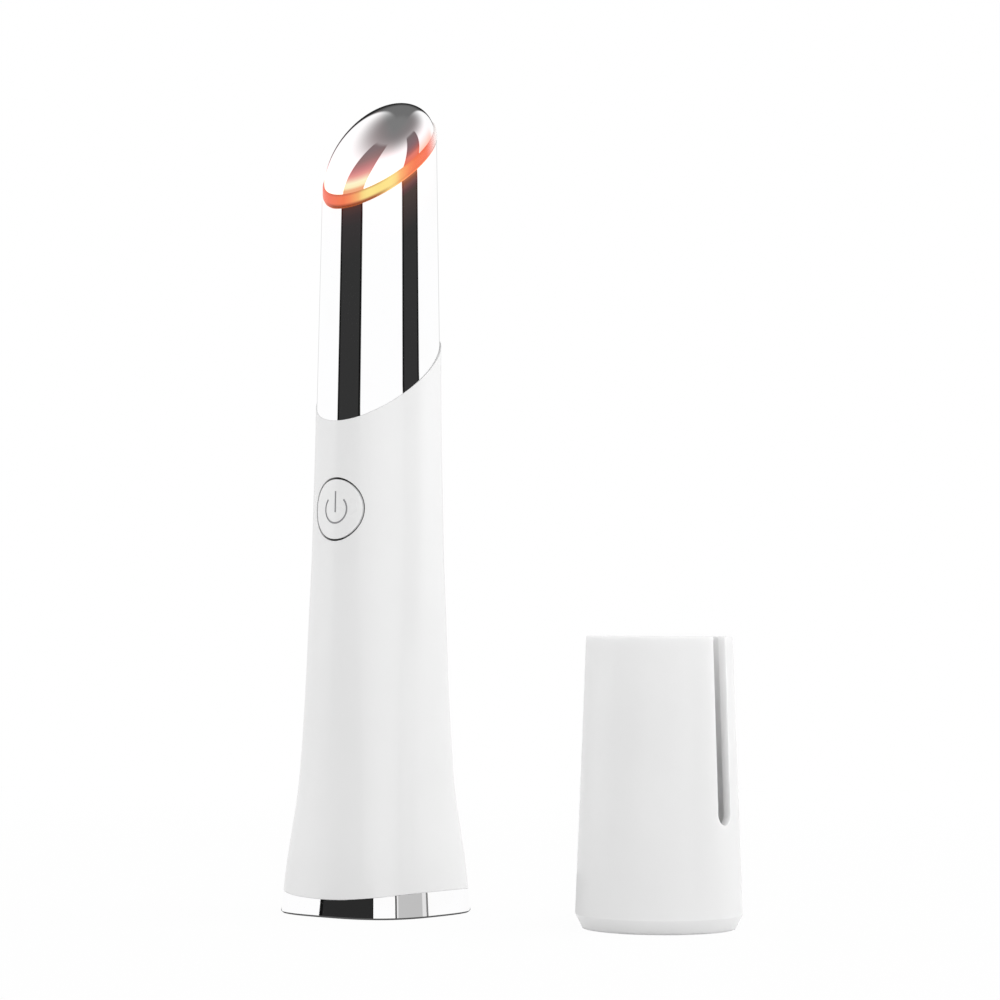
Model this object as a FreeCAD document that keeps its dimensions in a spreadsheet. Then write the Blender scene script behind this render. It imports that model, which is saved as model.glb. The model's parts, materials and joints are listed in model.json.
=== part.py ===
import FreeCAD, Part
import math
import os
import re

import Sketcher

# Heated eye massager wand with its loose cap.  Millimetres, +Z up, the wand stands on its foot at
# the origin with its power button towards -Y; the cap stands open end up on the +X side.

SIZES = [
    # Outer form of the handle: height, half width across the flats and roundness of each station.
    # A power of 2 is a circle, a higher one is a rounder square.
    ("foot_height", 0.0, "lowest station of the handle form"),
    ("foot_half", 14.25, "half width of the foot"),
    ("foot_power", 3.0, "roundness of the foot"),
    ("flare_height", 8.3, "station in the flare"),
    ("flare_in", 0.65, "how much the sides come in from the foot to the flare"),
    ("flare_power", 2.85, "roundness in the flare"),
    ("calf_height", 22.0, "station above the flare"),
    ("calf_half", 12.1, "half width above the flare"),
    ("calf_power", 2.6, "roundness above the flare"),
    ("waist_height", 35.5, "station at the waist"),
    ("waist_half", 11.6, "half width at the waist"),
    ("waist_power", 2.35, "roundness at the waist"),
    ("middle_height", 49.0, "middle station"),
    ("middle_half", 11.35, "half width at the middle"),
    ("middle_power", 2.15, "roundness at the middle"),
    ("grip_height", 62.5, "station under the button"),
    ("grip_half", 11.1, "half width under the button"),
    ("grip_power", 2.0, "roundness under the button"),
    ("shoulder_drop", 7.43, "station at the low side of the seam, under the seam's middle"),
    ("shoulder_half", 10.65, "half width at the shoulder"),
    ("shoulder_power", 2.0, "roundness at the shoulder"),
    ("mouth_rise", 10.57, "top station of the handle form, over the seam's middle"),
    ("mouth_half", 10.5, "half width at the mouth"),
    ("mouth_power", 2.0, "roundness at the mouth"),
    ("handle_wall", 1.8, "wall of the handle shell"),
    ("seam_rise", 22.89, "middle of the slanted mouth over the button's middle"),
    ("seam_tilt", 37.4, "slant of the mouth, degrees"),
    ("seat_gap", 0.1, "gap between pieces that are pushed into each other"),
    # Base ring and base plate.
    ("ring_front", 3.0, "height of the base ring at the front and back"),
    ("ring_rise", 1.25, "how much higher the base ring is at its sides"),
    ("ring_edge", 0.4, "chamfer round the bottom of the base ring"),
    ("spigot_top", 7.5, "top of the base ring's inner spigot"),
    ("spigot_wall", 1.2, "wall of that spigot"),
    ("plate_thick", 2.2, "thickness of the base plate"),
    ("base_screw_in", 6.75, "base screw's axis in from the foot's side"),
    ("base_screw_back", 4.5, "base screw from the middle, back"),
    ("base_screw_radius", 1.0, "base screw shank"),
    ("base_screw_length", 6.0, "base screw shank length"),
    ("base_head_radius", 1.8, "base screw head"),
    ("base_head_height", 1.0, "base screw head height"),
    ("base_head_sink", 0.2, "depth of the head under the plate's face"),
    ("screw_boss_radius", 2.3, "boss of the chassis for a base screw"),
    ("screw_slack", 0.05, "radial slack round a screw"),
    # Neck sleeve.
    ("neck_inset", 0.17, "step from the handle's side in to the neck at the seam"),
    ("neck_top_height", 35.87, "where the neck's top radius is measured, over the seam's middle"),
    ("neck_over_light", 0.01, "how much wider than the light ring the neck is there"),
    ("mouth_wall", 1.5, "wall of the handle's mouth round the sleeve's spigot"),
    ("neck_wall", 1.1, "wall of the sleeve above the handle"),
    ("step_drop", 5.0, "where the wide bore starts, under the head carrier's lower end"),
    ("seal_height", 2.8, "middle of the neck seal over the sleeve's lower end"),
    ("seal_radius", 0.5, "radius of the seal's cord"),
    ("seal_slack", 0.05, "gap round the seal"),
    ("seal_floor", 0.7, "wall of the sleeve under the seal"),
    # Slanted head.  The dome is a ball sheared along the slope of its rim.
    ("light_rise", 36.72, "middle of the light ring over the seam's middle"),
    ("light_tilt", 39.4, "slant of the light ring, degrees"),
    ("light_thick", 1.63, "thickness of the light ring"),
    ("light_bulge", 0.25, "how far the light ring stands proud of the dome"),
    ("light_round", 0.35, "rounding of the light ring's outer edges"),
    ("light_wide", 2.22, "light ring from its outside to the carrier's boss"),
    ("dome_drop", 0.33, "middle of the dome under the light ring's middle"),
    ("dome_radius", 9.47, "radius of the dome across"),
    ("dome_slope", 0.645, "rise of the dome's rim for each millimetre to the back"),
    ("dome_rise", 9.05, "height of the dome over its rim"),
    ("dome_wall", 0.9, "wall of the massage head"),
    ("carrier_drop", 18.04, "lower end of the head carrier under the light ring's middle"),
    ("carrier_wall", 1.5, "wall of the carrier's tube"),
    ("carrier_floor", 1.2, "slanted floor of the carrier"),
    ("carrier_ledge", 1.6, "ledge of that floor under the lamp board"),
    ("boss_wall", 0.9, "wall of the carrier's boss inside the light ring"),
    ("boss_height", 3.3, "height of the boss over the slanted floor"),
    ("boss_shift", 0.8, "boss from the wand's axis, up the slant"),
    ("led_board_thick", 0.8, "thickness of the lamp board"),
    ("led_in", 1.2, "ring of lamps in from the boss's wall"),
    ("led_count", 8, "number of lamps"),
    ("led_wide", 1.6, "width of a lamp"),
    ("led_deep", 0.8, "depth of a lamp"),
    ("led_tall", 0.7, "height of a lamp"),
    ("heater_in", 0.5, "heater disc's edge in from the boss's outside"),
    ("heater_thick", 0.5, "thickness of the heater disc"),
    ("thermal_pad_in", 2.4, "thermal pad's edge in from the heater's edge"),
    ("thermal_pad_shift", 2.0, "pad from the wand's axis, up the slant"),
    ("thermistor_radius", 0.6, "radius of the thermistor bead"),
    ("thermistor_height", 1.0, "height of the thermistor bead"),
    # Power button and its switch.
    ("button_height", 67.5, "height of the button's middle"),
    ("button_hole_radius", 5.3, "hole for the button in the handle"),
    ("button_gap", 0.28, "gap round the button"),
    ("button_deep", 1.1, "back of the button behind the handle's inner wall"),
    ("button_travel", 0.3, "how far the button presses in"),
    ("flange_lip", 0.85, "how much wider than the hole the button's retaining flange is"),
    ("flange_thick", 0.8, "thickness of that flange"),
    ("flange_gap", 0.1, "gap between flange and handle wall"),
    ("stem_radius", 1.2, "radius of the button's stem"),
    ("symbol_radius", 2.3, "middle radius of the power symbol's arc"),
    ("symbol_line", 0.3, "width of the symbol's grooves"),
    ("symbol_depth", 0.12, "depth of the symbol's grooves"),
    ("symbol_open", 46.0, "half angle left open at the top of the arc, degrees"),
    ("symbol_bar_top", 3.2, "top of the bar over the arc's middle"),
    ("symbol_bar_foot", 0.3, "foot of the bar under the arc's middle"),
    ("collar_gap", 0.4, "gap between the flange and the button collar inside the handle"),
    ("collar_wall", 0.9, "wall of that collar"),
    ("disc_over_collar", 0.3, "gap between the collar and the chassis disc over it"),
    ("membrane_room", 1.0, "gap between the button's back and the button membrane"),
    ("membrane_thick", 0.5, "thickness of the button membrane"),
    ("membrane_gap", 0.5, "gap between the stem and the membrane's hole"),
    ("switch_room", 0.5, "gap between the membrane and the switch body"),
    ("stem_gap", 0.05, "gap between stem and switch plunger"),
    ("switch_side", 4.5, "side of the switch body"),
    ("switch_thick", 1.6, "thickness of the switch body"),
    ("plunger_radius", 1.1, "radius of the switch plunger"),
    ("plunger_slack", 0.05, "radial slack of the plunger"),
    ("plunger_proud", 0.6, "how far the plunger stands out of the switch"),
    ("plunger_inside", 0.6, "length of the plunger inside the switch"),
    ("plunger_room", 0.1, "free depth behind the pressed plunger"),
    # Board, chassis, cell.
    ("board_thick", 1.0, "thickness of the main board"),
    ("board_half", 6.5, "half width of the main board"),
    ("board_rise", 6.5, "upper end of the main board over the button's middle"),
    ("board_foot_half", 4.8, "half width of the main board's tongue in the foot"),
    ("tongue_top", 12.0, "height where that tongue ends"),
    ("board_screw_across", 4.7, "board screw from the middle"),
    ("board_screw_low", 20.0, "height of the lower board screw"),
    ("board_screw_high", 58.0, "height of the upper board screw"),
    ("board_screw_radius", 0.8, "board screw shank"),
    ("board_head_radius", 1.5, "board screw head"),
    ("board_head_height", 0.8, "board screw head height"),
    ("chip_tall", 1.0, "height of the components over the board"),
    ("socket_wide", 8.9, "width of the charging socket"),
    ("socket_thick", 3.2, "thickness of the charging socket"),
    ("socket_long", 7.3, "length of the charging socket"),
    ("socket_wall", 0.3, "shell of the charging socket"),
    ("socket_sink", 0.3, "mouth of the socket over the foot"),
    ("tongue_thick", 0.7, "contact tongue inside the socket"),
    ("tongue_half", 3.3, "half width of the contact tongue"),
    ("disc_thick", 2.0, "thickness of the chassis discs"),
    ("spine_thick", 1.2, "thickness of the chassis spine"),
    ("spine_drop", 4.0, "top of the spine's full width under the board's upper end"),
    ("rail_wide", 1.4, "width of the side rails over the spine"),
    ("rib_thick", 1.6, "thickness of a cell rib"),
    ("rib_low", 14.0, "lowest cell rib"),
    ("rib_step", 16.0, "distance between the cell ribs"),
    ("rib_count", 3, "number of cell ribs"),
    ("cell_room", 0.9, "gap between the battery cell and the handle where it is narrowest"),
    ("cell_stand", 1.5, "lower end of the cell over the chassis's foot disc"),
    ("cell_length", 44.0, "length of the cell"),
    ("cell_nub_radius", 1.6, "radius of the cell's contact"),
    ("cell_nub_height", 0.8, "height of the cell's contact"),
    ("cell_slack", 0.1, "radial slack of the cell in its ribs"),
    ("foam_half", 3.0, "half width of the foam pad"),
    ("foam_thick", 0.6, "thickness of the foam pad"),
    ("foam_gap", 0.2, "gap between the foam pad and the cell"),
    # Vibration motor.
    ("motor_drop", 29.04, "lower end of the motor under the light ring's middle"),
    ("motor_radius", 3.5, "radius of the motor can"),
    ("motor_length", 13.0, "length of the motor can"),
    ("bearing_radius", 1.2, "bearing boss of the motor"),
    ("bearing_height", 0.8, "height of the bearing boss"),
    ("shaft_radius", 0.5, "radius of the motor shaft"),
    ("shaft_slack", 0.05, "radial slack of the shaft"),
    ("shaft_inside", 5.0, "length of the shaft inside the motor"),
    ("shaft_proud", 1.0, "how far the shaft stands out of the weight"),
    ("weight_radius", 3.0, "radius of the eccentric weight"),
    ("weight_height", 4.5, "height of the eccentric weight"),
    ("weight_gap", 0.7, "gap between the bearing boss and the weight"),
    ("weight_hub", 1.1, "radius of the weight's hub"),
    ("boot_wall", 0.75, "wall of the motor's rubber boot"),
    ("boot_margin", 1.0, "motor can left bare at each end"),
    ("boot_slack", 0.05, "gap round the boot"),
    ("motor_tube_wall", 0.85, "wall of the chassis tube round the motor"),
    # Leads.
    ("lead_radius", 0.42, "radius of a lead"),
    ("lead_pitch", 1.2, "distance between leads that run side by side"),
    ("lead_off_tube", 0.53, "gap between the head leads and the tube round the motor"),
    ("head_lead_in", 1.5, "landing of the head leads behind the wand's axis"),
    ("lead_end_gap", 0.1, "gap at the end of a lead"),
    # Cap.
    ("cap_across", 52.6, "cap's axis from the wand's axis, to the right"),
    ("cap_behind", 8.2, "cap's axis from the wand's axis, to the back"),
    ("cap_height", 46.6, "height of the cap"),
    ("cap_shoulder_radius", 13.4, "largest radius, over the closed end's chamfer"),
    ("cap_chamfer", 1.15, "width of that chamfer"),
    ("cap_shoulder_height", 2.3, "height of that chamfer"),
    ("cap_rim_radius", 11.75, "outer radius at the rim"),
    ("cap_wall", 1.4, "wall of the cap"),
    ("cap_floor", 1.8, "closed end of the cap"),
    ("slot_wide", 3.4, "width of the slots"),
    ("slot_foot", 16.8, "lowest point of the slots"),
]
FOLLOWING = [
    # What follows from the sizes.  Up the wand: the button carries the seam, the seam the light
    # ring, and the light ring the dome, the carrier and the motor.
    ("flare_half", "foot_half - flare_in"),
    ("seam_height", "button_height + seam_rise"),
    ("shoulder_height", "seam_height - shoulder_drop"),
    ("mouth_height", "seam_height + mouth_rise"),
    ("light_height", "seam_height + light_rise"),
    ("dome_height", "light_height - dome_drop"),
    ("carrier_foot", "light_height - carrier_drop"),
    ("motor_foot", "light_height - motor_drop"),
    ("motor_tube_top", "motor_foot + motor_length - boot_margin"),
    ("shaft_outside", "bearing_height + weight_gap + weight_height + shaft_proud"),
    # Round the button, then from the button back to the board and up to the neck's lower end.
    ("flange_radius", "button_hole_radius + flange_lip"),
    ("collar_radius", "flange_radius + collar_gap"),
    ("button_back", "grip_half - handle_wall - button_deep"),
    ("collar_back", "button_back - membrane_room"),
    ("membrane_hole", "stem_radius + membrane_gap"),
    ("board_front", "collar_back - membrane_thick - switch_room - switch_thick"),
    ("board_top", "button_height + board_rise"),
    ("spine_top", "board_top - spine_drop"),
    ("neck_spigot_foot", "button_height + collar_radius + collar_wall + disc_over_collar"
                         " + disc_thick"),
    ("seal_level", "neck_spigot_foot + seal_height"),
    # The neck and what it holds.
    ("neck_seam_radius", "(shoulder_half + mouth_half) / 2 - neck_inset"),
    ("neck_top_radius", "dome_radius + light_bulge + neck_over_light"),
    ("neck_spigot_radius", "mouth_half - mouth_wall - seat_gap"),
    ("seal_seat", "neck_spigot_radius + seat_gap - seal_slack - seal_radius"),
    ("neck_spigot_bore", "seal_seat - seal_radius - seal_slack - seal_floor"),
    ("neck_step", "carrier_foot - step_drop"),
    ("boss_radius", "dome_radius + light_bulge - light_wide"),
    ("carrier_hole", "boss_radius - boss_wall - carrier_ledge"),
    ("led_circle", "boss_radius - boss_wall - led_in"),
    ("heater_radius", "boss_radius - heater_in"),
    ("thermal_pad_radius", "heater_radius - thermal_pad_in"),
    # The cell fills what is left between the foam pad and the handle's back.
    ("cell_front", "board_front - board_thick - spine_thick - foam_thick - foam_gap"),
    ("cell_reach", "min(waist_half; middle_half; grip_half) - handle_wall - cell_room"),
    ("cell_radius", "(cell_reach + cell_front) / 2"),
    ("cell_back", "(cell_reach - cell_front) / 2"),
    ("cell_foot", "spigot_top + disc_thick + cell_stand"),
    ("base_screw_across", "foot_half - base_screw_in"),
    ("cap_closed_radius", "cap_shoulder_radius - cap_chamfer"),
]
OWNERS = {alias: "Sizes" for alias, value, note in SIZES}
OWNERS.update((name, "Following") for name, text in FOLLOWING)
TRIM = 60.0     # blocks that only cut or keep a side of a piece reach this far
SECTION_POINTS = 32

doc = FreeCAD.newDocument("EyeMassagerWand")
sheet = doc.addObject("Spreadsheet::Sheet", "Sizes")
for row, (alias, value, note) in enumerate(SIZES, start=1):
    sheet.set(f"A{row}", note)
    sheet.set(f"B{row}", str(value))
    sheet.setAlias(f"B{row}", alias)
following = doc.addObject("App::VarSet", "Following")
for name, text in FOLLOWING:
    following.addProperty("App::PropertyFloat", name)

sub_parts = []


def size(name):
    """The value of a size or of what follows from the sizes."""
    return float(sheet.get(name) if OWNERS[name] == "Sizes" else getattr(following, name))


def bound(text):
    """An expression in plain names, turned into references to the sheet and what follows."""
    return re.sub(r"[a-z_]+", lambda word: f"{OWNERS[word.group()]}.{word.group()}"
                  if word.group() in OWNERS else word.group(), text)


def bind(thing, **properties):
    for name, text in properties.items():
        thing.setExpression(name.replace("__", "."), bound(text))


bind(following, **dict(FOLLOWING))
doc.recompute()


def place(thing, at=("0", "0", "0"), turn=0.0, turn_by=None):
    """Put a thing at a point, turned about X by an angle or by the angle of an alias."""
    start = size(turn_by) if turn_by else turn
    thing.Placement = FreeCAD.Placement(
        FreeCAD.Vector(), FreeCAD.Rotation(FreeCAD.Vector(1, 0, 0), start))
    bind(thing, Placement__Base__x=at[0], Placement__Base__y=at[1], Placement__Base__z=at[2])
    if turn_by:
        bind(thing, Placement__Rotation__Angle=turn_by)


def on_slant(across="0", along="0", over="0"):
    """A point of the light ring's slanted frame, as a point of the wand."""
    return (across,
            f"({along}) * cos(light_tilt) - ({over}) * sin(light_tilt)",
            f"light_height + ({along}) * sin(light_tilt) + ({over}) * cos(light_tilt)")


def cylinder(name, radius, height, at=("0", "0", "0"), turn=0.0, turn_by=None):
    rod = doc.addObject("Part::Cylinder", name)
    bind(rod, Radius=radius, Height=height)
    place(rod, at, turn, turn_by)
    return rod


def slant_cylinder(name, radius, height, across="0", along="0", over="0"):
    return cylinder(name, radius, height, on_slant(across, along, over), turn_by="light_tilt")


def rod_to_back(name, radius, length, across, front, height):
    """A cylinder along +Y from its front face, front being a distance before the wand's axis."""
    return cylinder(name, radius, length, (across, f"-({front})", height), turn=-90.0)


def box(name, low, extent, turn=0.0, turn_by=None):
    block = doc.addObject("Part::Box", name)
    bind(block, Length=extent[0], Width=extent[1], Height=extent[2])
    place(block, low, turn, turn_by)
    return block


def fuse(name, *things):
    joined = doc.addObject("Part::MultiFuse", name)
    joined.Shapes = list(things)
    joined.Refine = True
    return joined


def cut(name, base, *tools):
    left = doc.addObject("Part::Cut", name)
    left.Base = base
    left.Tool = tools[0] if len(tools) == 1 else fuse(name + "_tools", *tools)
    left.Refine = True
    return left


def common(name, base, tool):
    kept = doc.addObject("Part::Common", name)
    kept.Base = base
    kept.Tool = tool
    return kept


def sub_part(thing, label):
    thing.Label = label
    sub_parts.append(thing)
    return thing


def closed_section(half, power, height):
    """A closed curve at one height: a circle for power 2, a rounded square above it."""
    points = []
    for step in range(SECTION_POINTS):
        angle = 2 * math.pi * step / SECTION_POINTS
        across, deep = math.cos(angle), math.sin(angle)
        reach = half / (abs(across) ** power + abs(deep) ** power) ** (1 / power)
        points.append(FreeCAD.Vector(reach * across, reach * deep, height))
    curve = Part.BSplineCurve()
    curve.interpolate(Points=points, PeriodicFlag=True)
    return Part.Wire(curve.toShape())


def handle_form(name, inset):
    """The handle's outer form, pulled in by a distance."""
    stations = ("foot", "flare", "calf", "waist", "middle", "grip", "shoulder", "mouth")
    sections = [closed_section(size(f"{station}_half") - inset, size(f"{station}_power"),
                               size(f"{station}_height")) for station in stations]
    form = doc.addObject("Part::Feature", name)
    form.Shape = Part.makeLoft(sections, True, False)
    return form


def dome_form(name, grown):
    """The head's ball, sheared along its rim's slope, and the round collar under it."""
    radius = size("dome_radius") + grown
    shear = FreeCAD.Matrix(radius, 0, 0, 0,
                           0, radius, 0, 0,
                           0, size("dome_slope") * radius, size("dome_rise") + grown,
                           size("dome_height"))
    ball = Part.makeSphere(1.0).transformGeometry(shear)
    over_rim = Part.makeCylinder(TRIM, TRIM)
    over_rim.Placement = FreeCAD.Placement(
        FreeCAD.Vector(0, 0, size("dome_height")),
        FreeCAD.Rotation(FreeCAD.Vector(1, 0, 0), math.degrees(math.atan(size("dome_slope")))))
    column = Part.makeCylinder(radius, 2 * TRIM, FreeCAD.Vector(0, 0, size("dome_height") - TRIM))
    collar = column.cut(over_rim)
    form = doc.addObject("Part::Feature", name)
    form.Shape = collar.fuse(ball).removeSplitter()
    return form


def lead(points, radius):
    """A round lead through points: straight runs joined by tangent arcs."""
    edges = []
    start = points[0]
    for before, corner, after in zip(points, points[1:], points[2:]):
        back, ahead = before - corner, after - corner
        turn = math.pi - back.getAngle(ahead)
        reach = 0.45 * min(back.Length, ahead.Length)
        bend = reach / math.tan(turn / 2)
        back.normalize()
        ahead.normalize()
        first, last = corner + back * reach, corner + ahead * reach
        inward = (back + ahead).normalize()
        middle = corner + inward * (bend / math.cos(turn / 2) - bend)
        edges.append(Part.LineSegment(start, first).toShape())
        edges.append(Part.Arc(first, middle, last).toShape())
        start = last
    edges.append(Part.LineSegment(start, points[-1]).toShape())
    path = Part.Wire(edges)
    ring = Part.Wire(Part.makeCircle(radius, points[0], points[1] - points[0]))
    return path.makePipeShell([ring], True, True)


def lead_group(label, routes):
    group = doc.addObject("Part::Feature", label)
    group.Shape = Part.makeCompound([lead(route, size("lead_radius")) for route in routes])
    return sub_part(group, label)


def origin_plane(body, role):
    return next(plane for plane in body.Origin.OriginFeatures if plane.Role == role)


def sketch_on(body, name, role):
    sketch = body.newObject("Sketcher::SketchObject", name)
    sketch.AttachmentSupport = [(origin_plane(body, role), "")]
    sketch.MapMode = "FlatFace"
    return sketch


def outline(sketch, corners):
    """A closed polygon whose corners are held by expressions."""
    held = []
    count = len(corners)
    for index in range(count):
        start = FreeCAD.Vector(index, index % 2, 0)
        end = FreeCAD.Vector(index + 1, (index + 1) % 2, 0)
        sketch.addGeometry(Part.LineSegment(start, end), False)
    for index in range(count):
        sketch.addConstraint(Sketcher.Constraint("Coincident", index, 2, (index + 1) % count, 1))
    for index, (across, up) in enumerate(corners):
        held.append((sketch.addConstraint(
            Sketcher.Constraint("DistanceX", -1, 1, index, 1, 1.0 + index)), across))
        held.append((sketch.addConstraint(
            Sketcher.Constraint("DistanceY", -1, 1, index, 1, 1.0 + index)), up))
    for constraint, text in held:
        sketch.setExpression(f"Constraints[{constraint}]", bound(text))


def circle(sketch, across, up, radius):
    """A circle held by expressions."""
    index = sketch.addGeometry(Part.Circle(FreeCAD.Vector(1, 1, 0), FreeCAD.Vector(0, 0, 1), 1.0),
                               False)
    for kind, text in (("DistanceX", across), ("DistanceY", up)):
        held = sketch.addConstraint(Sketcher.Constraint(kind, -1, 1, index, 3, 1.0))
        sketch.setExpression(f"Constraints[{held}]", bound(text))
    held = sketch.addConstraint(Sketcher.Constraint("Radius", index, 1.0))
    sketch.setExpression(f"Constraints[{held}]", bound(radius))


def turned_body(label, corners):
    """A body turned about its Z axis from a half profile of (radius, height) corners."""
    body = doc.addObject("PartDesign::Body", label)
    sketch = sketch_on(body, label + "_profile", "XZ_Plane")
    outline(sketch, corners)
    turned = body.newObject("PartDesign::Revolution", label + "_turned")
    turned.Profile = sketch
    turned.ReferenceAxis = (sketch, ["V_Axis"])
    turned.Angle = 360.0
    return body


# ---- outer forms, shared by the pieces that meet them

outer_form = handle_form("outer_form", 0.0)
cavity_form = handle_form("cavity_form", size("handle_wall"))
fitting_form = handle_form("fitting_form", size("handle_wall") + size("seat_gap"))
spigot_inset = size("handle_wall") + size("seat_gap") + size("spigot_wall")
foot_bore_form = handle_form("foot_bore_form", spigot_inset)
plate_form = handle_form("plate_form", spigot_inset + size("seat_gap") / 2)

wave = cylinder("wave", "(foot_half^2 + ring_rise^2) / (2 * ring_rise)", f"{2 * TRIM}",
                ("0", f"-{TRIM}", "ring_front + (foot_half^2 + ring_rise^2) / (2 * ring_rise)"),
                turn=-90.0)
under_wave = cut("under_wave", cylinder("foot_block", f"{TRIM}", "spigot_top + 1",
                                        ("0", "0", "-1")), wave)
over_seam = cylinder("over_seam", f"{TRIM}", f"{TRIM}", ("0", "0", "seam_height"),
                     turn_by="seam_tilt")
over_light_foot = slant_cylinder("over_light_foot", f"{TRIM}", f"{TRIM}",
                                 over="-light_thick / 2")
over_light_top = slant_cylinder("over_light_top", f"{TRIM}", f"{TRIM}", over="light_thick / 2")

# ---- handle shell

button_hole = rod_to_back("button_hole", "button_hole_radius", "mouth_half", "0",
                          "foot_half", "button_height")
neck_bore = cylinder("neck_bore", "neck_spigot_radius + seat_gap", f"{TRIM}",
                     ("0", "0", "neck_spigot_foot"))
shell = cut("shell", outer_form, under_wave, over_seam, cavity_form, neck_bore, button_hole)
collar_block = rod_to_back("collar_block", "collar_radius + collar_wall",
                           "grip_half - handle_wall / 2 - collar_back", "0",
                           "grip_half - handle_wall / 2", "button_height")
collar_bore = rod_to_back("collar_bore", "collar_radius", "grip_half", "0", "grip_half",
                          "button_height")
collar_inside = handle_form("collar_inside", size("handle_wall") / 2)
collar = common("collar", cut("collar_ring", collar_block, collar_bore), collar_inside)
handle_shell = sub_part(fuse("handle", shell, collar), "handle_shell")

# ---- base ring, plate and screws

ring_band = common("ring_band", outer_form, under_wave)
spigot_block = cylinder("spigot_block", f"{TRIM}", "spigot_top")
ring_spigot = common("ring_spigot", fitting_form, spigot_block)
ring_body = fuse("ring_body", ring_band, ring_spigot)
edge_form = doc.addObject("Part::Feature", "edge_form")
edge_form.Shape = Part.makeLoft(
    [closed_section(size("foot_half") - size("ring_edge"), size("foot_power"), 0.0),
     closed_section(size("foot_half") - size("ring_edge") + TRIM / 4, size("foot_power"),
                    TRIM / 4)], True, True)
ring_edged = common("ring_edged", ring_body, edge_form)
base_ring = sub_part(cut("ring", ring_edged, foot_bore_form), "base_ring")

plate_slab = cylinder("plate_slab", f"{TRIM}", "plate_thick")
plate_blank = common("plate_blank", plate_form, plate_slab)
port_half = "(socket_wide - socket_thick) / 2"
port_round = "socket_thick / 2 + seat_gap"
socket_middle = "board_front + socket_thick / 2"
port_cuts = [
    box("port_slot", (f"-{port_half}", f"-({socket_middle}) - ({port_round})", "-1"),
        (f"2 * {port_half}", f"2 * ({port_round})", "plate_thick + 2")),
    cylinder("port_left", port_round, "plate_thick + 2",
             (f"-{port_half}", f"-({socket_middle})", "-1")),
    cylinder("port_right", port_round, "plate_thick + 2",
             (port_half, f"-({socket_middle})", "-1")),
]
screw_cuts, screws, boss_blocks, boss_holes = [], [], [], []
for side, sign in (("left", "-"), ("right", "")):
    across, back = f"{sign}base_screw_across", "base_screw_back"
    screw_cuts += [
        cylinder(f"screw_head_cut_{side}", "base_head_radius + screw_slack",
                 "base_head_height + base_head_sink", (across, back, "0")),
        cylinder(f"screw_plate_cut_{side}", "base_screw_radius + screw_slack", "plate_thick",
                 (across, back, "0")),
    ]
    screws += [
        cylinder(f"screw_head_{side}", "base_head_radius", "base_head_height",
                 (across, back, "base_head_sink")),
        cylinder(f"screw_shank_{side}", "base_screw_radius", "base_screw_length",
                 (across, back, "base_head_sink + base_head_height")),
    ]
    boss_rod = cylinder(f"boss_rod_{side}", "screw_boss_radius",
                        "spigot_top - plate_thick + disc_thick", (across, back, "plate_thick"))
    boss_blocks.append(common(f"boss_block_{side}", plate_form, boss_rod))
    boss_holes.append(cylinder(f"boss_hole_{side}", "base_screw_radius + screw_slack",
                               "base_screw_length + 2 * screw_slack",
                               (across, back, "base_head_sink + base_head_height - screw_slack")))
sub_part(cut("plate", plate_blank, *port_cuts, *screw_cuts), "base_plate")
sub_part(fuse("base_screw_pair", *screws), "base_screws")

# ---- neck sleeve and its seal

neck_taper = "(neck_seam_radius - neck_top_radius) / neck_top_height"
neck_cone = doc.addObject("Part::Cone", "neck_cone")
bind(neck_cone, Radius1=f"neck_seam_radius + {neck_taper} * (seam_height - neck_spigot_foot)",
     Radius2=f"neck_top_radius - {neck_taper} * {TRIM / 3}",
     Height=f"seam_height + neck_top_height - neck_spigot_foot + {TRIM / 3}")
place(neck_cone, ("0", "0", "neck_spigot_foot"))
neck_above = common("neck_above", neck_cone, over_seam)
neck_spigot = cylinder("neck_spigot", "neck_spigot_radius", "neck_step - neck_spigot_foot",
                       ("0", "0", "neck_spigot_foot"))
neck_solid = fuse("neck_solid", neck_above, neck_spigot)
narrow_bore = cylinder("narrow_bore", "neck_spigot_bore", f"{TRIM}",
                       ("0", "0", "neck_spigot_foot - 1"))
wide_bore = cylinder("wide_bore", "neck_top_radius - neck_wall", f"{TRIM}",
                     ("0", "0", "neck_step"))
groove = cut("seal_groove",
             cylinder("groove_outside", "neck_spigot_radius + 1",
                      "2 * (seal_radius + seal_slack)",
                      ("0", "0", "seal_level - seal_radius - seal_slack")),
             cylinder("groove_inside", "seal_seat - seal_radius - seal_slack",
                      "2 * (seal_radius + seal_slack)",
                      ("0", "0", "seal_level - seal_radius - seal_slack")))
sub_part(cut("neck", neck_solid, over_light_foot, narrow_bore, wide_bore, groove), "neck_sleeve")
neck_seal = doc.addObject("Part::Torus", "seal_cord")
bind(neck_seal, Radius1="seal_seat", Radius2="seal_radius")
place(neck_seal, ("0", "0", "seal_level"))
sub_part(neck_seal, "neck_seal")

# ---- light ring and massage head

light_form = dome_form("light_form", size("light_bulge"))
light_slab = slant_cylinder("light_slab", f"{TRIM}", "light_thick", over="-light_thick / 2")
light_blank = common("light_blank", light_form, light_slab)
light_bore = slant_cylinder("light_bore", "boss_radius + seat_gap", f"{TRIM / 10}",
                            along="boss_shift", over=f"-{TRIM / 20}")
doc.recompute()
rim_edges = [index for index, edge in enumerate(light_blank.Shape.Edges, start=1)
             if edge.Length > size("dome_radius")]
light_rounded = doc.addObject("Part::Fillet", "light_rounded")
light_rounded.Base = light_blank
light_rounded.Edges = [(index, size("light_round"), size("light_round")) for index in rim_edges]
sub_part(cut("light", light_rounded, light_bore), "light_ring")

head_form = dome_form("head_form", 0.0)
head_cavity = dome_form("head_cavity", -size("dome_wall"))
head_blank = common("head_blank", head_form, over_light_top)
sub_part(cut("head", head_blank, head_cavity), "massage_head")

# ---- head carrier, lamp board, heater

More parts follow.
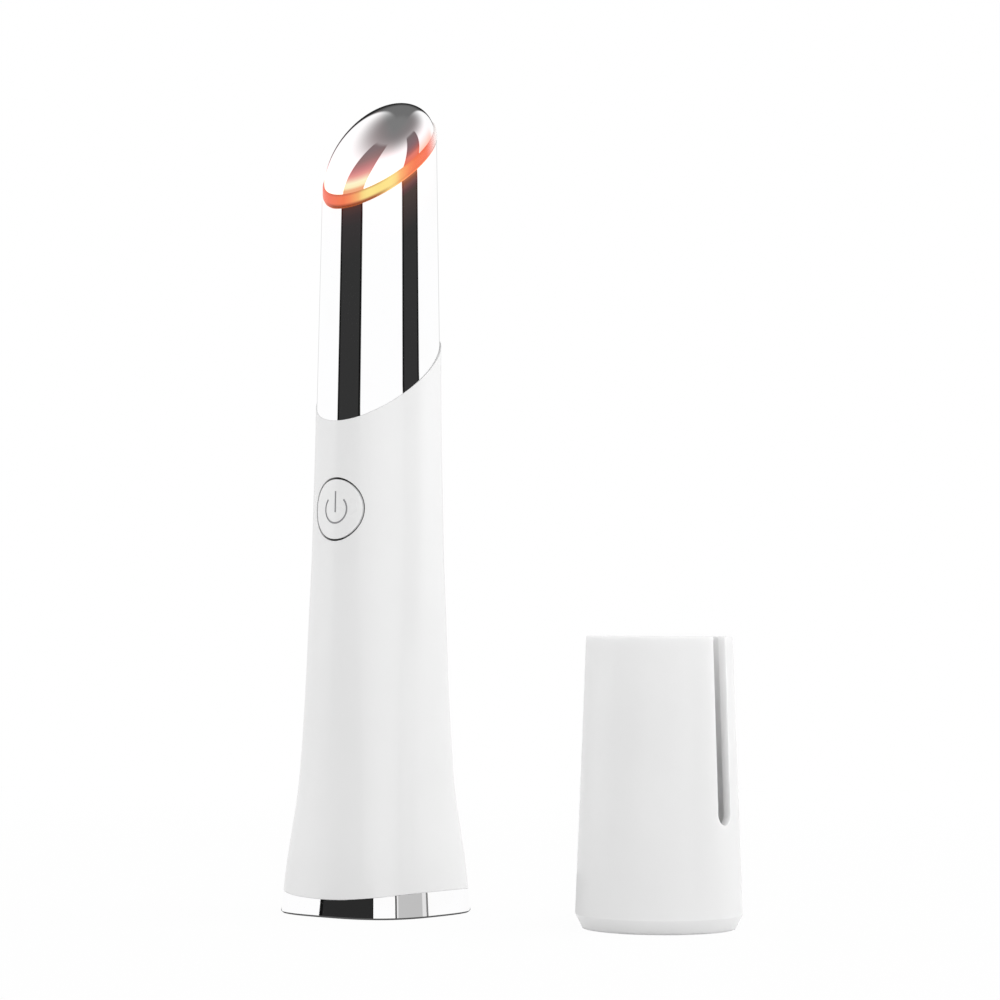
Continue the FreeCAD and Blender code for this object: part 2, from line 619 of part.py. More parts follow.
carrier_radius = "neck_top_radius - neck_wall - seat_gap / 2"
floor_foot = "-light_thick / 2 - carrier_floor"
carrier_tube = cylinder("carrier_tube", carrier_radius, f"{TRIM}", ("0", "0", "carrier_foot"))
carrier_room = cylinder("carrier_room", f"{carrier_radius} - carrier_wall", f"{TRIM}",
                        ("0", "0", "carrier_foot - 1"))
room_above = slant_cylinder("room_above", f"{TRIM}", f"{TRIM}", over=floor_foot)
carrier_hollow = cut("carrier_hollow", carrier_room, room_above)
carrier_lower = cut("carrier_lower", carrier_tube, over_light_foot, carrier_hollow)
carrier_boss = slant_cylinder("carrier_boss", "boss_radius", "boss_height", along="boss_shift",
                              over="-light_thick / 2")
boss_bore = slant_cylinder("boss_bore", "boss_radius - boss_wall", f"{TRIM}", along="boss_shift",
                           over="-light_thick / 2")
floor_hole = slant_cylinder("floor_hole", "carrier_hole", f"{TRIM}", along="boss_shift",
                            over=f"{floor_foot} - 1")
sub_part(cut("carrier", fuse("carrier_blank", carrier_lower, carrier_boss), boss_bore, floor_hole),
         "head_carrier")

sub_part(slant_cylinder("lamp_board", "boss_radius - boss_wall - seat_gap", "led_board_thick",
                        along="boss_shift", over="-light_thick / 2"), "led_board")
lamps = doc.addObject("Part::Feature", "red_leds")
lamp_solids = []
for number in range(int(size("led_count"))):
    lamp = Part.makeBox(size("led_deep"), size("led_wide"), size("led_tall"), FreeCAD.Vector(
        size("led_circle") - size("led_deep") / 2, -size("led_wide") / 2,
        size("led_board_thick") - size("light_thick") / 2))
    lamp.rotate(FreeCAD.Vector(), FreeCAD.Vector(0, 0, 1), 360.0 * number / size("led_count"))
    lamp.translate(FreeCAD.Vector(0, size("boss_shift"), 0))
    lamp_solids.append(lamp)
lamps.Shape = Part.makeCompound(lamp_solids)
place(lamps, ("0", "0", "light_height"), turn_by="light_tilt")
sub_part(lamps, "red_leds")

heater_foot = "boss_height - light_thick / 2"
sub_part(slant_cylinder("heater", "heater_radius", "heater_thick", along="boss_shift",
                        over=heater_foot), "heater_disc")
pad_column = slant_cylinder("pad_column", "thermal_pad_radius", "dome_rise",
                            along="thermal_pad_shift", over=f"{heater_foot} + heater_thick")
pad_room = dome_form("pad_room", -size("dome_wall") - size("seat_gap") / 2)
sub_part(common("pad", pad_column, pad_room), "thermal_pad")
sub_part(slant_cylinder("bead", "thermistor_radius", "thermistor_height", along="boss_shift",
                        over=f"{heater_foot} - thermistor_height"), "thermistor")

# ---- power button, membrane and switch

button_radius = "button_hole_radius - button_gap"
button_rod = rod_to_back("button_rod", button_radius, "foot_half - button_back", "0",
                         "foot_half", "button_height")
button_cap = common("button_cap", button_rod, outer_form)
flange_outside = handle_form("flange_outside", size("handle_wall") + size("flange_gap"))
flange_inside = handle_form("flange_inside", size("handle_wall") + size("flange_gap")
                            + size("flange_thick"))
flange_rod = rod_to_back("flange_rod", "flange_radius", "grip_half", "0", "grip_half",
                         "button_height")
flange = cut("flange", common("flange_blank", flange_rod, flange_outside), flange_inside,
             box("behind_flange", (f"-{TRIM / 2}", "-button_back", "0"),
                 (f"{TRIM}", f"{TRIM}", f"{2 * TRIM}")))
plunger_front = "board_front + switch_thick + plunger_proud"
stem = rod_to_back("stem", "stem_radius", f"button_back + 1 - ({plunger_front}) - stem_gap", "0",
                   "button_back + 1", "button_height")
symbol_ring = cut("symbol_ring",
                  rod_to_back("symbol_outside", "symbol_radius + symbol_line / 2", "foot_half",
                              "0", "foot_half", "button_height"),
                  rod_to_back("symbol_inside", "symbol_radius - symbol_line / 2", "foot_half",
                              "0", "foot_half", "button_height"))
symbol_wedge = doc.addObject("Part::Feature", "symbol_wedge")
wedge_half = 2 * size("symbol_radius") * math.tan(math.radians(size("symbol_open")))
wedge_top = 2 * size("symbol_radius")
symbol_wedge.Shape = Part.Face(Part.makePolygon([
    FreeCAD.Vector(0, 0, 0), FreeCAD.Vector(wedge_half, 0, wedge_top),
    FreeCAD.Vector(-wedge_half, 0, wedge_top), FreeCAD.Vector(0, 0, 0)
])).extrude(FreeCAD.Vector(0, size("foot_half"), 0))
place(symbol_wedge, ("0", "-foot_half", "button_height"))
symbol_arc = cut("symbol_arc", symbol_ring, symbol_wedge)
symbol_bar = box("symbol_bar", ("-symbol_line / 2", "-foot_half",
                                "button_height - symbol_bar_foot"),
                 ("symbol_line", "foot_half", "symbol_bar_top + symbol_bar_foot"))
symbol_floor = handle_form("symbol_floor", size("symbol_depth"))
symbol = cut("symbol", fuse("symbol_strokes", symbol_arc, symbol_bar), symbol_floor)
sub_part(cut("button", fuse("button_blank", button_cap, flange, stem), symbol), "power_button")

membrane_disc = rod_to_back("membrane_disc", "collar_radius", "membrane_thick", "0",
                            "collar_back", "button_height")
membrane_hole = rod_to_back("membrane_hole_rod", "membrane_hole", "grip_half", "0", "grip_half",
                            "button_height")
sub_part(cut("membrane", common("membrane_blank", membrane_disc, fitting_form), membrane_hole),
         "button_membrane")

switch_block = box("switch_block", ("-switch_side / 2", "-board_front - switch_thick",
                                    "button_height - switch_side / 2"),
                   ("switch_side", "switch_thick", "switch_side"))
plunger_bore = rod_to_back("plunger_bore", "plunger_radius + plunger_slack",
                           "plunger_inside + button_travel + plunger_room", "0",
                           "board_front + switch_thick",
                           "button_height")
sub_part(cut("switch", switch_block, plunger_bore), "switch_body")
sub_part(rod_to_back("plunger", "plunger_radius", "plunger_proud + plunger_inside", "0",
                     plunger_front, "button_height"), "switch_plunger")

# ---- main board, its components, screws and charging socket

board = doc.addObject("PartDesign::Body", "main_board")
board_sketch = sketch_on(board, "board_outline", "XZ_Plane")
outline(board_sketch, [
    ("-board_foot_half", "plate_thick + seat_gap"), ("board_foot_half", "plate_thick + seat_gap"),
    ("board_foot_half", "tongue_top"), ("board_half", "tongue_top"),
    ("board_half", "board_top"), ("-board_half", "board_top"),
    ("-board_half", "tongue_top"), ("-board_foot_half", "tongue_top")])
board_pad = board.newObject("PartDesign::Pad", "board_pad")
board_pad.Profile = board_sketch
bind(board_pad, Length="board_thick")
place(board, ("0", "-board_front + board_thick", "0"))
holes_sketch = sketch_on(board, "board_holes", "XZ_Plane")
circle(holes_sketch, "board_screw_across", "board_screw_low", "board_screw_radius + screw_slack")
circle(holes_sketch, "-board_screw_across", "board_screw_high",
       "board_screw_radius + screw_slack")
doc.recompute()
board_pocket = board.newObject("PartDesign::Pocket", "board_pocket")
board_pocket.Profile = holes_sketch
board_pocket.Type = "ThroughAll"
board_pocket.Reversed = True
sub_part(board, "main_board")

COMPONENTS = (
    # name, width, height, middle across, middle height
    ("charge_chip", 3.9, 4.9, -1.5, 18.0),
    ("control_chip", 5.0, 6.2, 0.0, 36.0),
    ("power_coil", 4.0, 4.0, 2.0, 26.5),
    ("capacitor_low", 1.6, 3.2, -4.6, 27.0),
    ("capacitor_high", 1.6, 3.2, 4.4, 46.0),
    ("transistor", 2.8, 1.6, -3.5, 47.5),
)
chips = []
for chip_name, wide, tall, across, height in COMPONENTS:
    chips.append(box(chip_name, (f"{across - wide / 2}", "-board_front - chip_tall",
                                 f"{height - tall / 2}"), (f"{wide}", "chip_tall", f"{tall}")))
sub_part(fuse("component_group", *chips), "board_components")

board_screws = []
board_screw_holes = []
for spot, across, height in (("low", "board_screw_across", "board_screw_low"),
                             ("high", "-board_screw_across", "board_screw_high")):
    board_screws += [
        rod_to_back(f"board_screw_head_{spot}", "board_head_radius", "board_head_height", across,
                    "board_front + board_head_height", height),
        rod_to_back(f"board_screw_shank_{spot}", "board_screw_radius",
                    "board_thick + spine_thick", across, "board_front", height),
    ]
    board_screw_holes.append(
        rod_to_back(f"spine_hole_{spot}", "board_screw_radius + screw_slack", "spine_thick + 1",
                    across, "board_front - board_thick", height))
sub_part(fuse("board_screw_pair", *board_screws), "board_screws")


def socket_block(name, inset, foot, length):
    """The flat-sided round-ended form of the socket, pulled in by an inset."""
    round_end = f"socket_thick / 2 - {inset}"
    return fuse(name,
                box(name + "_flat", (f"-{port_half}", f"-({socket_middle}) - ({round_end})", foot),
                    (f"2 * {port_half}", f"2 * ({round_end})", length)),
                cylinder(name + "_left", round_end, length,
                         (f"-{port_half}", f"-({socket_middle})", foot)),
                cylinder(name + "_right", round_end, length,
                         (port_half, f"-({socket_middle})", foot)))


socket_outside = socket_block("socket_outside", "0", "socket_sink", "socket_long")
socket_inside = socket_block("socket_inside", "socket_wall", "socket_sink - 1",
                             "socket_long + 1 - 3 * socket_wall")
socket_tongue = box("socket_tongue",
                    ("-tongue_half", f"-({socket_middle}) - tongue_thick / 2",
                     "socket_sink + socket_wall"),
                    ("2 * tongue_half", "tongue_thick", "socket_long - 2 * socket_wall"))
sub_part(fuse("socket", cut("socket_shell", socket_outside, socket_inside), socket_tongue),
         "usb_socket")

# ---- chassis

spine_front = "board_front - board_thick"
foot_disc_block = cylinder("foot_disc_block", f"{TRIM}", "disc_thick", ("0", "0", "spigot_top"))
foot_disc = common("foot_disc", fitting_form, foot_disc_block)
spine = box("spine", ("-board_half", f"-({spine_front})", "spigot_top"),
            ("2 * board_half", "spine_thick", "spine_top - spigot_top"))
top_disc_foot = "neck_spigot_foot - disc_thick"
rails = [box(f"rail_{side}", (low, f"-({spine_front})", "spine_top - 1"),
             ("rail_wide", "spine_thick", f"{top_disc_foot} - spine_top + 1"))
         for side, low in (("left", "-board_half"), ("right", "board_half - rail_wide"))]
top_disc = cylinder("top_disc", "neck_spigot_radius - seat_gap", "disc_thick",
                    ("0", "0", top_disc_foot))
motor_tube_bore = "motor_radius + boot_wall + 2 * boot_slack"
motor_tube = cylinder("motor_tube", f"{motor_tube_bore} + motor_tube_wall",
                      "motor_tube_top - neck_spigot_foot + disc_thick",
                      ("0", "0", top_disc_foot))
tube_bore = cylinder("tube_bore", motor_tube_bore, f"{TRIM}", ("0", "0", f"{top_disc_foot} - 1"))
lead_window = box("lead_window", ("-2 * lead_pitch", "-neck_spigot_bore", f"{top_disc_foot} - 1"),
                  ("4 * lead_pitch",
                   f"neck_spigot_bore - ({motor_tube_bore}) - motor_tube_wall",
                   "disc_thick + 2"))
ribs = []
for number in range(int(size("rib_count"))):
    rib_block = box(f"rib_block_{number}",
                    (f"-{TRIM / 2}", f"-({spine_front})", f"rib_low + {number} * rib_step"),
                    (f"{TRIM}", f"{TRIM}", "rib_thick"))
    ribs.append(common(f"rib_{number}", fitting_form, rib_block))
cell_room = cylinder("cell_room", "cell_radius + cell_slack", f"{TRIM}",
                     ("0", "cell_back", "spigot_top + disc_thick"))
foot_window = box("foot_window",
                  ("-board_half - seat_gap", "-foot_half", "0"),
                  ("2 * (board_half + seat_gap)",
                   f"foot_half - ({spine_front})", "spigot_top + disc_thick + 1"))
chassis_blank = fuse("chassis_blank", foot_disc, spine, *rails, top_disc, motor_tube, *ribs,
                     *boss_blocks)
sub_part(cut("chassis", chassis_blank, tube_bore, lead_window, cell_room, foot_window,
             *boss_holes, *board_screw_holes), "inner_chassis")

# ---- battery cell and foam

cell = turned_body("battery_cell", [
    ("0", "0"), ("cell_radius", "0"), ("cell_radius", "cell_length"),
    ("cell_nub_radius", "cell_length"), ("cell_nub_radius", "cell_length + cell_nub_height"),
    ("0", "cell_length + cell_nub_height")])
place(cell, ("0", "cell_back", "cell_foot"))
sub_part(cell, "battery_cell")
foam_front = f"({spine_front}) - spine_thick"
sub_part(box("foam", ("-foam_half", f"-({foam_front})", "rib_low + rib_thick + 1"),
             ("2 * foam_half", "foam_thick", "rib_step - rib_thick - 2")), "battery_pad")

# ---- vibration motor

motor = turned_body("motor_can", [
    ("shaft_radius + shaft_slack", "motor_length + bearing_height"),
    ("bearing_radius", "motor_length + bearing_height"),
    ("bearing_radius", "motor_length"),
    ("motor_radius", "motor_length"), ("motor_radius", "0"), ("0", "0"),
    ("0", "motor_length - shaft_inside - shaft_slack"),
    ("shaft_radius + shaft_slack", "motor_length - shaft_inside - shaft_slack")])
place(motor, ("0", "0", "motor_foot"))
sub_part(motor, "motor_can")
boot_foot = "motor_foot + boot_margin"
boot_length = "motor_length - 2 * boot_margin"
sub_part(cut("boot",
             cylinder("boot_outside", "motor_radius + boot_wall + boot_slack", boot_length,
                      ("0", "0", boot_foot)),
             cylinder("boot_inside", "motor_radius + boot_slack", boot_length,
                      ("0", "0", boot_foot))), "motor_boot")
motor_top = "motor_foot + motor_length"
sub_part(cylinder("shaft", "shaft_radius", "shaft_inside + shaft_outside",
                  ("0", "0", f"{motor_top} - shaft_inside")), "motor_shaft")
weight_foot = f"{motor_top} + bearing_height + weight_gap"
weight_half = cut("weight_half",
                  cylinder("weight_disc", "weight_radius", "weight_height",
                           ("0", "0", weight_foot)),
                  box("weight_side", (f"-{TRIM / 2}", f"-{TRIM}", "0"),
                      (f"{TRIM}", f"{TRIM}", f"{3 * TRIM}")))
weight_hub = cylinder("weight_hub_rod", "weight_hub", "weight_height", ("0", "0", weight_foot))
weight_bore = cylinder("weight_bore", "shaft_radius", f"{TRIM}", ("0", "0", motor_top))
sub_part(cut("weight", fuse("weight_blank", weight_half, weight_hub), weight_bore),
         "eccentric_weight")

# ---- leads

tilt = math.radians(size("light_tilt"))
lead_clear = size("lead_radius") + size("lead_end_gap")
board_back = size("board_thick") - size("board_front")
weight_top = (size("motor_foot") + size("motor_length") + size("bearing_height")
              + size("weight_gap") + size("weight_height"))
tube_outside = (size("motor_radius") + size("boot_wall") + 2 * size("boot_slack")
                + size("motor_tube_wall"))


def under_lamp_board(deep):
    """Height just under the lamp board at a distance behind the wand's axis."""
    on_axis = size("light_height") - size("light_thick") / 2 / math.cos(tilt)
    return on_axis + deep * math.tan(tilt) - lead_clear


head_routes = []
for number in range(4):
    across = (number - 1.5) * size("lead_pitch")
    pad_height = (size("button_height") + size("switch_side") / 2 + size("board_top")) / 2
    start = FreeCAD.Vector(across, -size("board_front") - lead_clear, pad_height)
    out = -(tube_outside + size("lead_off_tube") + size("lead_radius"))
    inside = size("head_lead_in")
    head_routes.append([
        start,
        FreeCAD.Vector(across, out, pad_height + 1.5 * (start.y - out)),
        FreeCAD.Vector(across, out, weight_top - size("weight_gap")),
        FreeCAD.Vector(across, inside, under_lamp_board(inside))])
lead_group("head_leads", head_routes)

motor_routes = []
cell_routes = []
for side in (-1, 1):
    across = side * size("lead_pitch")
    landing = FreeCAD.Vector(across, board_back + lead_clear,
                             (size("spine_top") + size("board_top")) / 2)
    motor_routes.append([
        FreeCAD.Vector(across, 0, size("motor_foot") - size("lead_end_gap")),
        FreeCAD.Vector(across, 0, landing.z - board_back),
        landing])
    across = side * size("lead_pitch") * 2.5
    landing = FreeCAD.Vector(across, landing.y, landing.z)
    cell_top = size("cell_foot") + size("cell_length")
    cell_routes.append([
        FreeCAD.Vector(across, size("cell_back"), cell_top + size("lead_end_gap")),
        FreeCAD.Vector(across, size("cell_back"), landing.z - size("cell_back")),
        landing])
lead_group("motor_leads", motor_routes)
lead_group("battery_leads", cell_routes)

# ---- cap

cap_taper = "(cap_shoulder_radius - cap_rim_radius) / (cap_height - cap_shoulder_height)"
cap = turned_body("cap", [
    ("0", "0"), ("cap_closed_radius", "0"), ("cap_shoulder_radius", "cap_shoulder_height"),
    ("cap_rim_radius", "cap_height"), ("cap_rim_radius - cap_wall", "cap_height"),
    (f"cap_shoulder_radius - cap_wall - {cap_taper} * (cap_floor - cap_shoulder_height)",
     "cap_floor"),
    ("0", "cap_floor")])
slot_sketch = sketch_on(cap, "slot_outline", "YZ_Plane")
slot_half = "slot_wide / 2"
outline(slot_sketch, [
    (f"-{slot_half}", f"slot_foot + {slot_half}"), (slot_half, f"slot_foot + {slot_half}"),
    (slot_half, "cap_height + 1"), (f"-{slot_half}", "cap_height + 1")])
end_sketch = sketch_on(cap, "slot_end", "YZ_Plane")
circle(end_sketch, "0", f"slot_foot + {slot_half}", slot_half)
doc.recompute()
for name, profile in (("slot_cut", slot_sketch), ("slot_end_cut", end_sketch)):
    pocket = cap.newObject("PartDesign::Pocket", name)
    pocket.Profile = profile
    pocket.Type = "ThroughAll"
    pocket.Midplane = True
place(cap, ("cap_across", "cap_behind", "0"))
sub_part(cap, "cap")

# ---- check and write

doc.recompute()
for thing in doc.Objects:
    if {"Invalid", "Error"} & set(thing.State):
        raise RuntimeError(f"{thing.Label} is {thing.State}")
os.makedirs("parts", exist_ok=True)
for thing in sub_parts:
    if thing.Shape.isNull() or not thing.Shape.isValid():
        raise RuntimeError(f"{thing.Label} has no valid shape")
for thing in sub_parts:
    thing.Shape.exportStep(f"parts/{thing.Label}.step")
    print(f"{thing.Label}: {len(thing.Shape.Solids)} solids, {thing.Shape.Volume:.1f} mm3")
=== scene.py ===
import json
import logging
import math
from abc import ABC, abstractmethod
from dataclasses import dataclass
from enum import Enum
from typing import Callable, Sequence, Union

import bmesh
import bpy
from bmesh.types import BMEdge, BMesh, BMFace, BMVert
from mathutils import Matrix, Quaternion, Vector


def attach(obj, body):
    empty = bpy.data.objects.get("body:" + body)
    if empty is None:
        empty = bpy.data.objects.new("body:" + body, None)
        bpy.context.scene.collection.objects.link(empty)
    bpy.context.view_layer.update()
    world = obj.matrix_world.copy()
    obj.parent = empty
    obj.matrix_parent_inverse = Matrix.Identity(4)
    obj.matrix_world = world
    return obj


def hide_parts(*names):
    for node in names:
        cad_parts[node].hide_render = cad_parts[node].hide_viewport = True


# Heated eye massager wand with its loose cap.  The classes hold their sizes in millimetres, +Z up,
# the wand's axis on Z and its power button towards -Y; a finished mesh is scaled to metres.

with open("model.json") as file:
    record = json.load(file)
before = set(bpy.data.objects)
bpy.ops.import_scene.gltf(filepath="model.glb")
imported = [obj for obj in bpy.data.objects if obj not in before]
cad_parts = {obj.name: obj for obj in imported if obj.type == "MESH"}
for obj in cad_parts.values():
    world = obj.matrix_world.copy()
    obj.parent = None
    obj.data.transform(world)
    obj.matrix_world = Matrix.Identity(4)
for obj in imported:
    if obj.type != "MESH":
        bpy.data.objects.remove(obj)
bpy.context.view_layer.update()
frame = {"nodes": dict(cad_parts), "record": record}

LOG = logging.getLogger("massager_wand")
MM = 0.001
MERGE = 1e-4  # points nearer than this, in millimetres, become one

Triple = tuple[float, float, float]
Colour = Triple
RingShape = Callable[[float], Vector]

BLACK: Colour = (0.0, 0.0, 0.0)
WHITE: Colour = (1.0, 1.0, 1.0)
FINE_DETAIL = 3.0  # the detail of the finer noises
LIT_TURNS = (92.0, 125.0)  # how far round from the front the ring is lit, in degrees


class Body(Enum):
    """The bodies that the pieces ride on."""

    WAND = "wand"
    BUTTON = "button"
    CAP = "cap"


class Symmetry(Enum):
    """The plane a half sheet is mirrored over, by its normal axis."""

    SIDEWAYS = "X"
    BACKWARDS = "Y"


def cosine(angle: float) -> float:
    """The cosine of an angle in degrees."""
    return math.cos(math.radians(angle))


def grey(tone: float) -> Colour:
    """The neutral colour of a tone."""
    return tone, tone, tone


def shaded(colour: Colour, share: float) -> Colour:
    """A colour at a share of its brightness."""
    return tuple(part * share for part in colour)


def opaque(colour: object) -> object:
    """A colour of three numbers with its alpha, and anything else as it is."""
    return (*colour, 1.0) if isinstance(colour, tuple) else colour


# ---- shader work


class Value:
    """A number in a shader, which Python's operators turn into Math nodes."""

    def __init__(self, work: "NodeWork", socket: bpy.types.NodeSocket) -> None:
        """Wraps the output socket of a node in a tree."""
        self.work = work
        self.socket = socket

    def __add__(self, other: "Number") -> "Value":
        """This value plus another."""
        return self.work.maths("ADD", self, other)

    def __radd__(self, other: "Number") -> "Value":
        """Another value plus this one."""
        return self.work.maths("ADD", other, self)

    def __sub__(self, other: "Number") -> "Value":
        """This value less another."""
        return self.work.maths("SUBTRACT", self, other)

    def __rsub__(self, other: "Number") -> "Value":
        """Another value less this one."""
        return self.work.maths("SUBTRACT", other, self)

    def __mul__(self, other: "Number") -> "Value":
        """This value times another."""
        return self.work.maths("MULTIPLY", self, other)

    def __rmul__(self, other: "Number") -> "Value":
        """Another value times this one."""
        return self.work.maths("MULTIPLY", other, self)

    def __truediv__(self, other: "Number") -> "Value":
        """This value over another."""
        return self.work.maths("DIVIDE", self, other)

    def __pow__(self, other: "Number") -> "Value":
        """This value to a power."""
        return self.work.maths("POWER", self, other)

    def rising(self, low: float, high: float) -> "Value":
        """A smooth step from 0 below one value to 1 above another."""
        node = self.work.add("ShaderNodeMapRange", {"interpolation_type": "SMOOTHSTEP"},
                             {"Value": self, "From Min": low, "From Max": high})
        return Value(self.work, node.outputs["Result"])


Number = Union[Value, float]


class NodeWork:
    """The nodes of one material or world."""

    def __init__(self, tree: bpy.types.NodeTree) -> None:
        """Starts on an emptied node tree."""
        self.tree = tree
        tree.nodes.clear()

    def add(self, kind: str, settings: dict | None = None,
            values: dict | None = None) -> bpy.types.Node:
        """Adds one node.

        Args:
            kind: the node's type.
            settings: what is set on the node itself, such as an operation or a ramp's stops.
            values: the constants or the links of its input sockets, by name or number.

        Returns:
            The node.
        """
        node = self.tree.nodes.new(kind)
        for name, setting in (settings or {}).items():
            if name == "stops":
                self.set_stops(node.color_ramp, setting)
            else:
                setattr(node, name, setting)
        for name, value in (values or {}).items():
            self.feed(node.inputs[name], value)
        return node

    def feed(self, socket: bpy.types.NodeSocket, value: object) -> None:
        """Links a socket to a value or another socket, or sets it to a constant.

        Args:
            socket: the input socket.
            value: what it gets.
        """
        if isinstance(value, Value):
            self.tree.links.new(value.socket, socket)
        elif isinstance(value, bpy.types.NodeSocket):
            self.tree.links.new(value, socket)
        else:
            socket.default_value = value

    @staticmethod
    def set_stops(ramp: bpy.types.ColorRamp, stops: Sequence[tuple[float, Colour]]) -> None:
        """Gives a colour ramp its stops, each a place and a colour.

        Args:
            ramp: the ramp.
            stops: its stops, in order of place.
        """
        while len(ramp.elements) < len(stops):
            ramp.elements.new(1.0)
        for element, (place, colour) in zip(ramp.elements, stops):
            element.position = place
            element.color = opaque(colour)

    def maths(self, operation: str, left: Number, right: Number) -> Value:
        """One Math node on two values."""
        node = self.add("ShaderNodeMath", {"operation": operation}, {0: left, 1: right})
        return Value(self, node.outputs[0])

    def place(self) -> bpy.types.NodeSocket:
        """The point of the piece in its own coordinates."""
        return self.add("ShaderNodeTexCoord").outputs["Object"]

    def parts(self, vector: bpy.types.NodeSocket) -> tuple[Value, Value, Value]:
        """The three numbers of a vector."""
        node = self.add("ShaderNodeSeparateXYZ", None, {"Vector": vector})
        return tuple(Value(self, output) for output in node.outputs)

    def rays(self) -> tuple[Value, Value]:
        """Tells the rays of light apart.

        Returns:
            1 for a mirrored ray, and 1 for a ray from the camera or through glass.
        """
        node = self.add("ShaderNodeLightPath")
        mirrored, camera, through = (Value(self, node.outputs[f"Is {kind} Ray"])
                                     for kind in ("Glossy", "Camera", "Transmission"))
        return mirrored, self.maths("MAXIMUM", camera, through)

    def stretched(self, scale: Triple) -> bpy.types.NodeSocket:
        """The piece's coordinates, stretched along its axes."""
        node = self.add("ShaderNodeMapping", None, {"Vector": self.place(), "Scale": scale})
        return node.outputs["Vector"]

    def noise(self, scale: float, detail: float = 2.0,
              vector: bpy.types.NodeSocket | None = None) -> Value:
        """Noise from 0 to 1 with features of about 1 / scale metres."""
        node = self.add("ShaderNodeTexNoise", None,
                        {"Vector": vector or self.place(), "Scale": scale, "Detail": detail})
        return Value(self, node.outputs["Fac"])

    def mixed(self, share: Number, first: object, second: object) -> bpy.types.NodeSocket:
        """The mix of two colours by a share."""
        node = self.add("ShaderNodeMix", {"data_type": "RGBA"},
                        {0: share, 6: opaque(first), 7: opaque(second)})
        return node.outputs[2]

    def bump(self, height: Value, depth: float) -> bpy.types.NodeSocket:
        """A normal from a height of 0 to 1 that stands for a depth in metres."""
        return self.add("ShaderNodeBump", None, {"Height": height, "Distance": depth,
                                                 "Strength": 1.0}).outputs["Normal"]


@dataclass(frozen=True)
class Finish(ABC):
    """How a surface looks.  Each kind adds its own nodes in dress()."""

    colour: Colour
    roughness: float

    def material(self, name: str) -> bpy.types.Material:
        """Makes the material of this finish.

        Args:
            name: the material's name.

        Returns:
            The new material.
        """
        made = bpy.data.materials.new(name)
        made.use_nodes = True
        work = NodeWork(made.node_tree)
        shader = work.add("ShaderNodeBsdfPrincipled", None,
                          {"Base Color": opaque(self.colour), "Roughness": self.roughness})
        output = work.add("ShaderNodeOutputMaterial", None, {"Surface": shader.outputs[0]})
        output.is_active_output = True
        self.dress(work, shader)
        return made

    @abstractmethod
    def dress(self, work: NodeWork, shader: bpy.types.Node) -> None:
        """Adds what this kind of finish has over a plain colour."""


@dataclass(frozen=True)
class MouldedPlastic(Finish):
    """Injection moulded plastic: a fine tool grain, faint cloudiness and an even gloss.

    Its depth in metres is how far light wanders in it, where it does.
    """

    grain: float = 0.0002
    grain_depth: float = 4e-7
    cloud: float = 0.02
    cloud_scale: float = 55.0
    cloud_edge: tuple[float, float] = (0.3, 0.7)
    gloss_scale: float = 240.0
    gloss_change: float = 0.06
    coat: float = 0.25
    coat_roughness: float = 0.08
    depth: float = 0.0

    def dress(self, work: NodeWork, shader: bpy.types.Node) -> None:
        """Adds the cloudiness, the uneven gloss and the grain.

        Args:
            work: the material's nodes.
            shader: its Principled shader.
        """
        cloudy = work.noise(self.cloud_scale, FINE_DETAIL).rising(*self.cloud_edge)
        dimmer = shaded(self.colour, 1 - self.cloud)
        work.feed(shader.inputs["Base Color"], work.mixed(cloudy, self.colour, dimmer))
        gloss = work.noise(self.gloss_scale) * self.gloss_change
        work.feed(shader.inputs["Roughness"], gloss + (self.roughness - self.gloss_change / 2))
        grain = work.noise(1.0 / self.grain, 1.0)
        work.feed(shader.inputs["Normal"], work.bump(grain, self.grain_depth))
        work.feed(shader.inputs["Coat Weight"], self.coat)
        work.feed(shader.inputs["Coat Roughness"], self.coat_roughness)
        if self.depth:
            work.feed(shader.inputs["Subsurface Weight"], 1.0)
            work.feed(shader.inputs["Subsurface Radius"], WHITE)
            work.feed(shader.inputs["Subsurface Scale"], self.depth)


def over_ring(work: NodeWork) -> Value:
    """How far a point lies over the light ring's middle plane.

    Args:
        work: the material's nodes.

    Returns:
        The distance in metres, less than 0 under the plane.
    """
    _, back, up = work.parts(work.place())
    tilt = math.radians(LightRing.tilt)
    return up * math.cos(tilt) - back * math.sin(tilt) - LightRing.height * MM * math.cos(tilt)


def from_axis(across: Value, back: Value) -> Value:
    """The distance from the wand's axis."""
    return (across ** 2.0 + back ** 2.0) ** 0.5


def facing(work: NodeWork, azimuth: float, near: float, far: float) -> Value:
    """Where a point lies near an azimuth round the wand.

    Args:
        work: the material's nodes.
        azimuth: the azimuth in degrees, from -Y towards +X.
        near: the angle from it in degrees up to which the value is 1.
        far: the angle from it in degrees where the value has fallen to 0.

    Returns:
        The value.
    """
    return round_wand(work, azimuth).rising(cosine(far), cosine(near))


def round_wand(work: NodeWork, azimuth: float) -> Value:
    """The cosine of the angle round the wand's axis from an azimuth.

    Args:
        work: the material's nodes.
        azimuth: the azimuth in degrees, from -Y towards +X.

    Returns:
        1 at the azimuth, falling to -1 opposite it.
    """
    across, back, _ = work.parts(work.place())
    turn = math.radians(azimuth)
    return (across * math.sin(turn) - back * math.cos(turn)) / from_axis(across, back)


def lit_front(work: NodeWork) -> Value:
    """1 where the lamps light the ring, and 0 at its back."""
    return facing(work, 0.0, *LIT_TURNS)


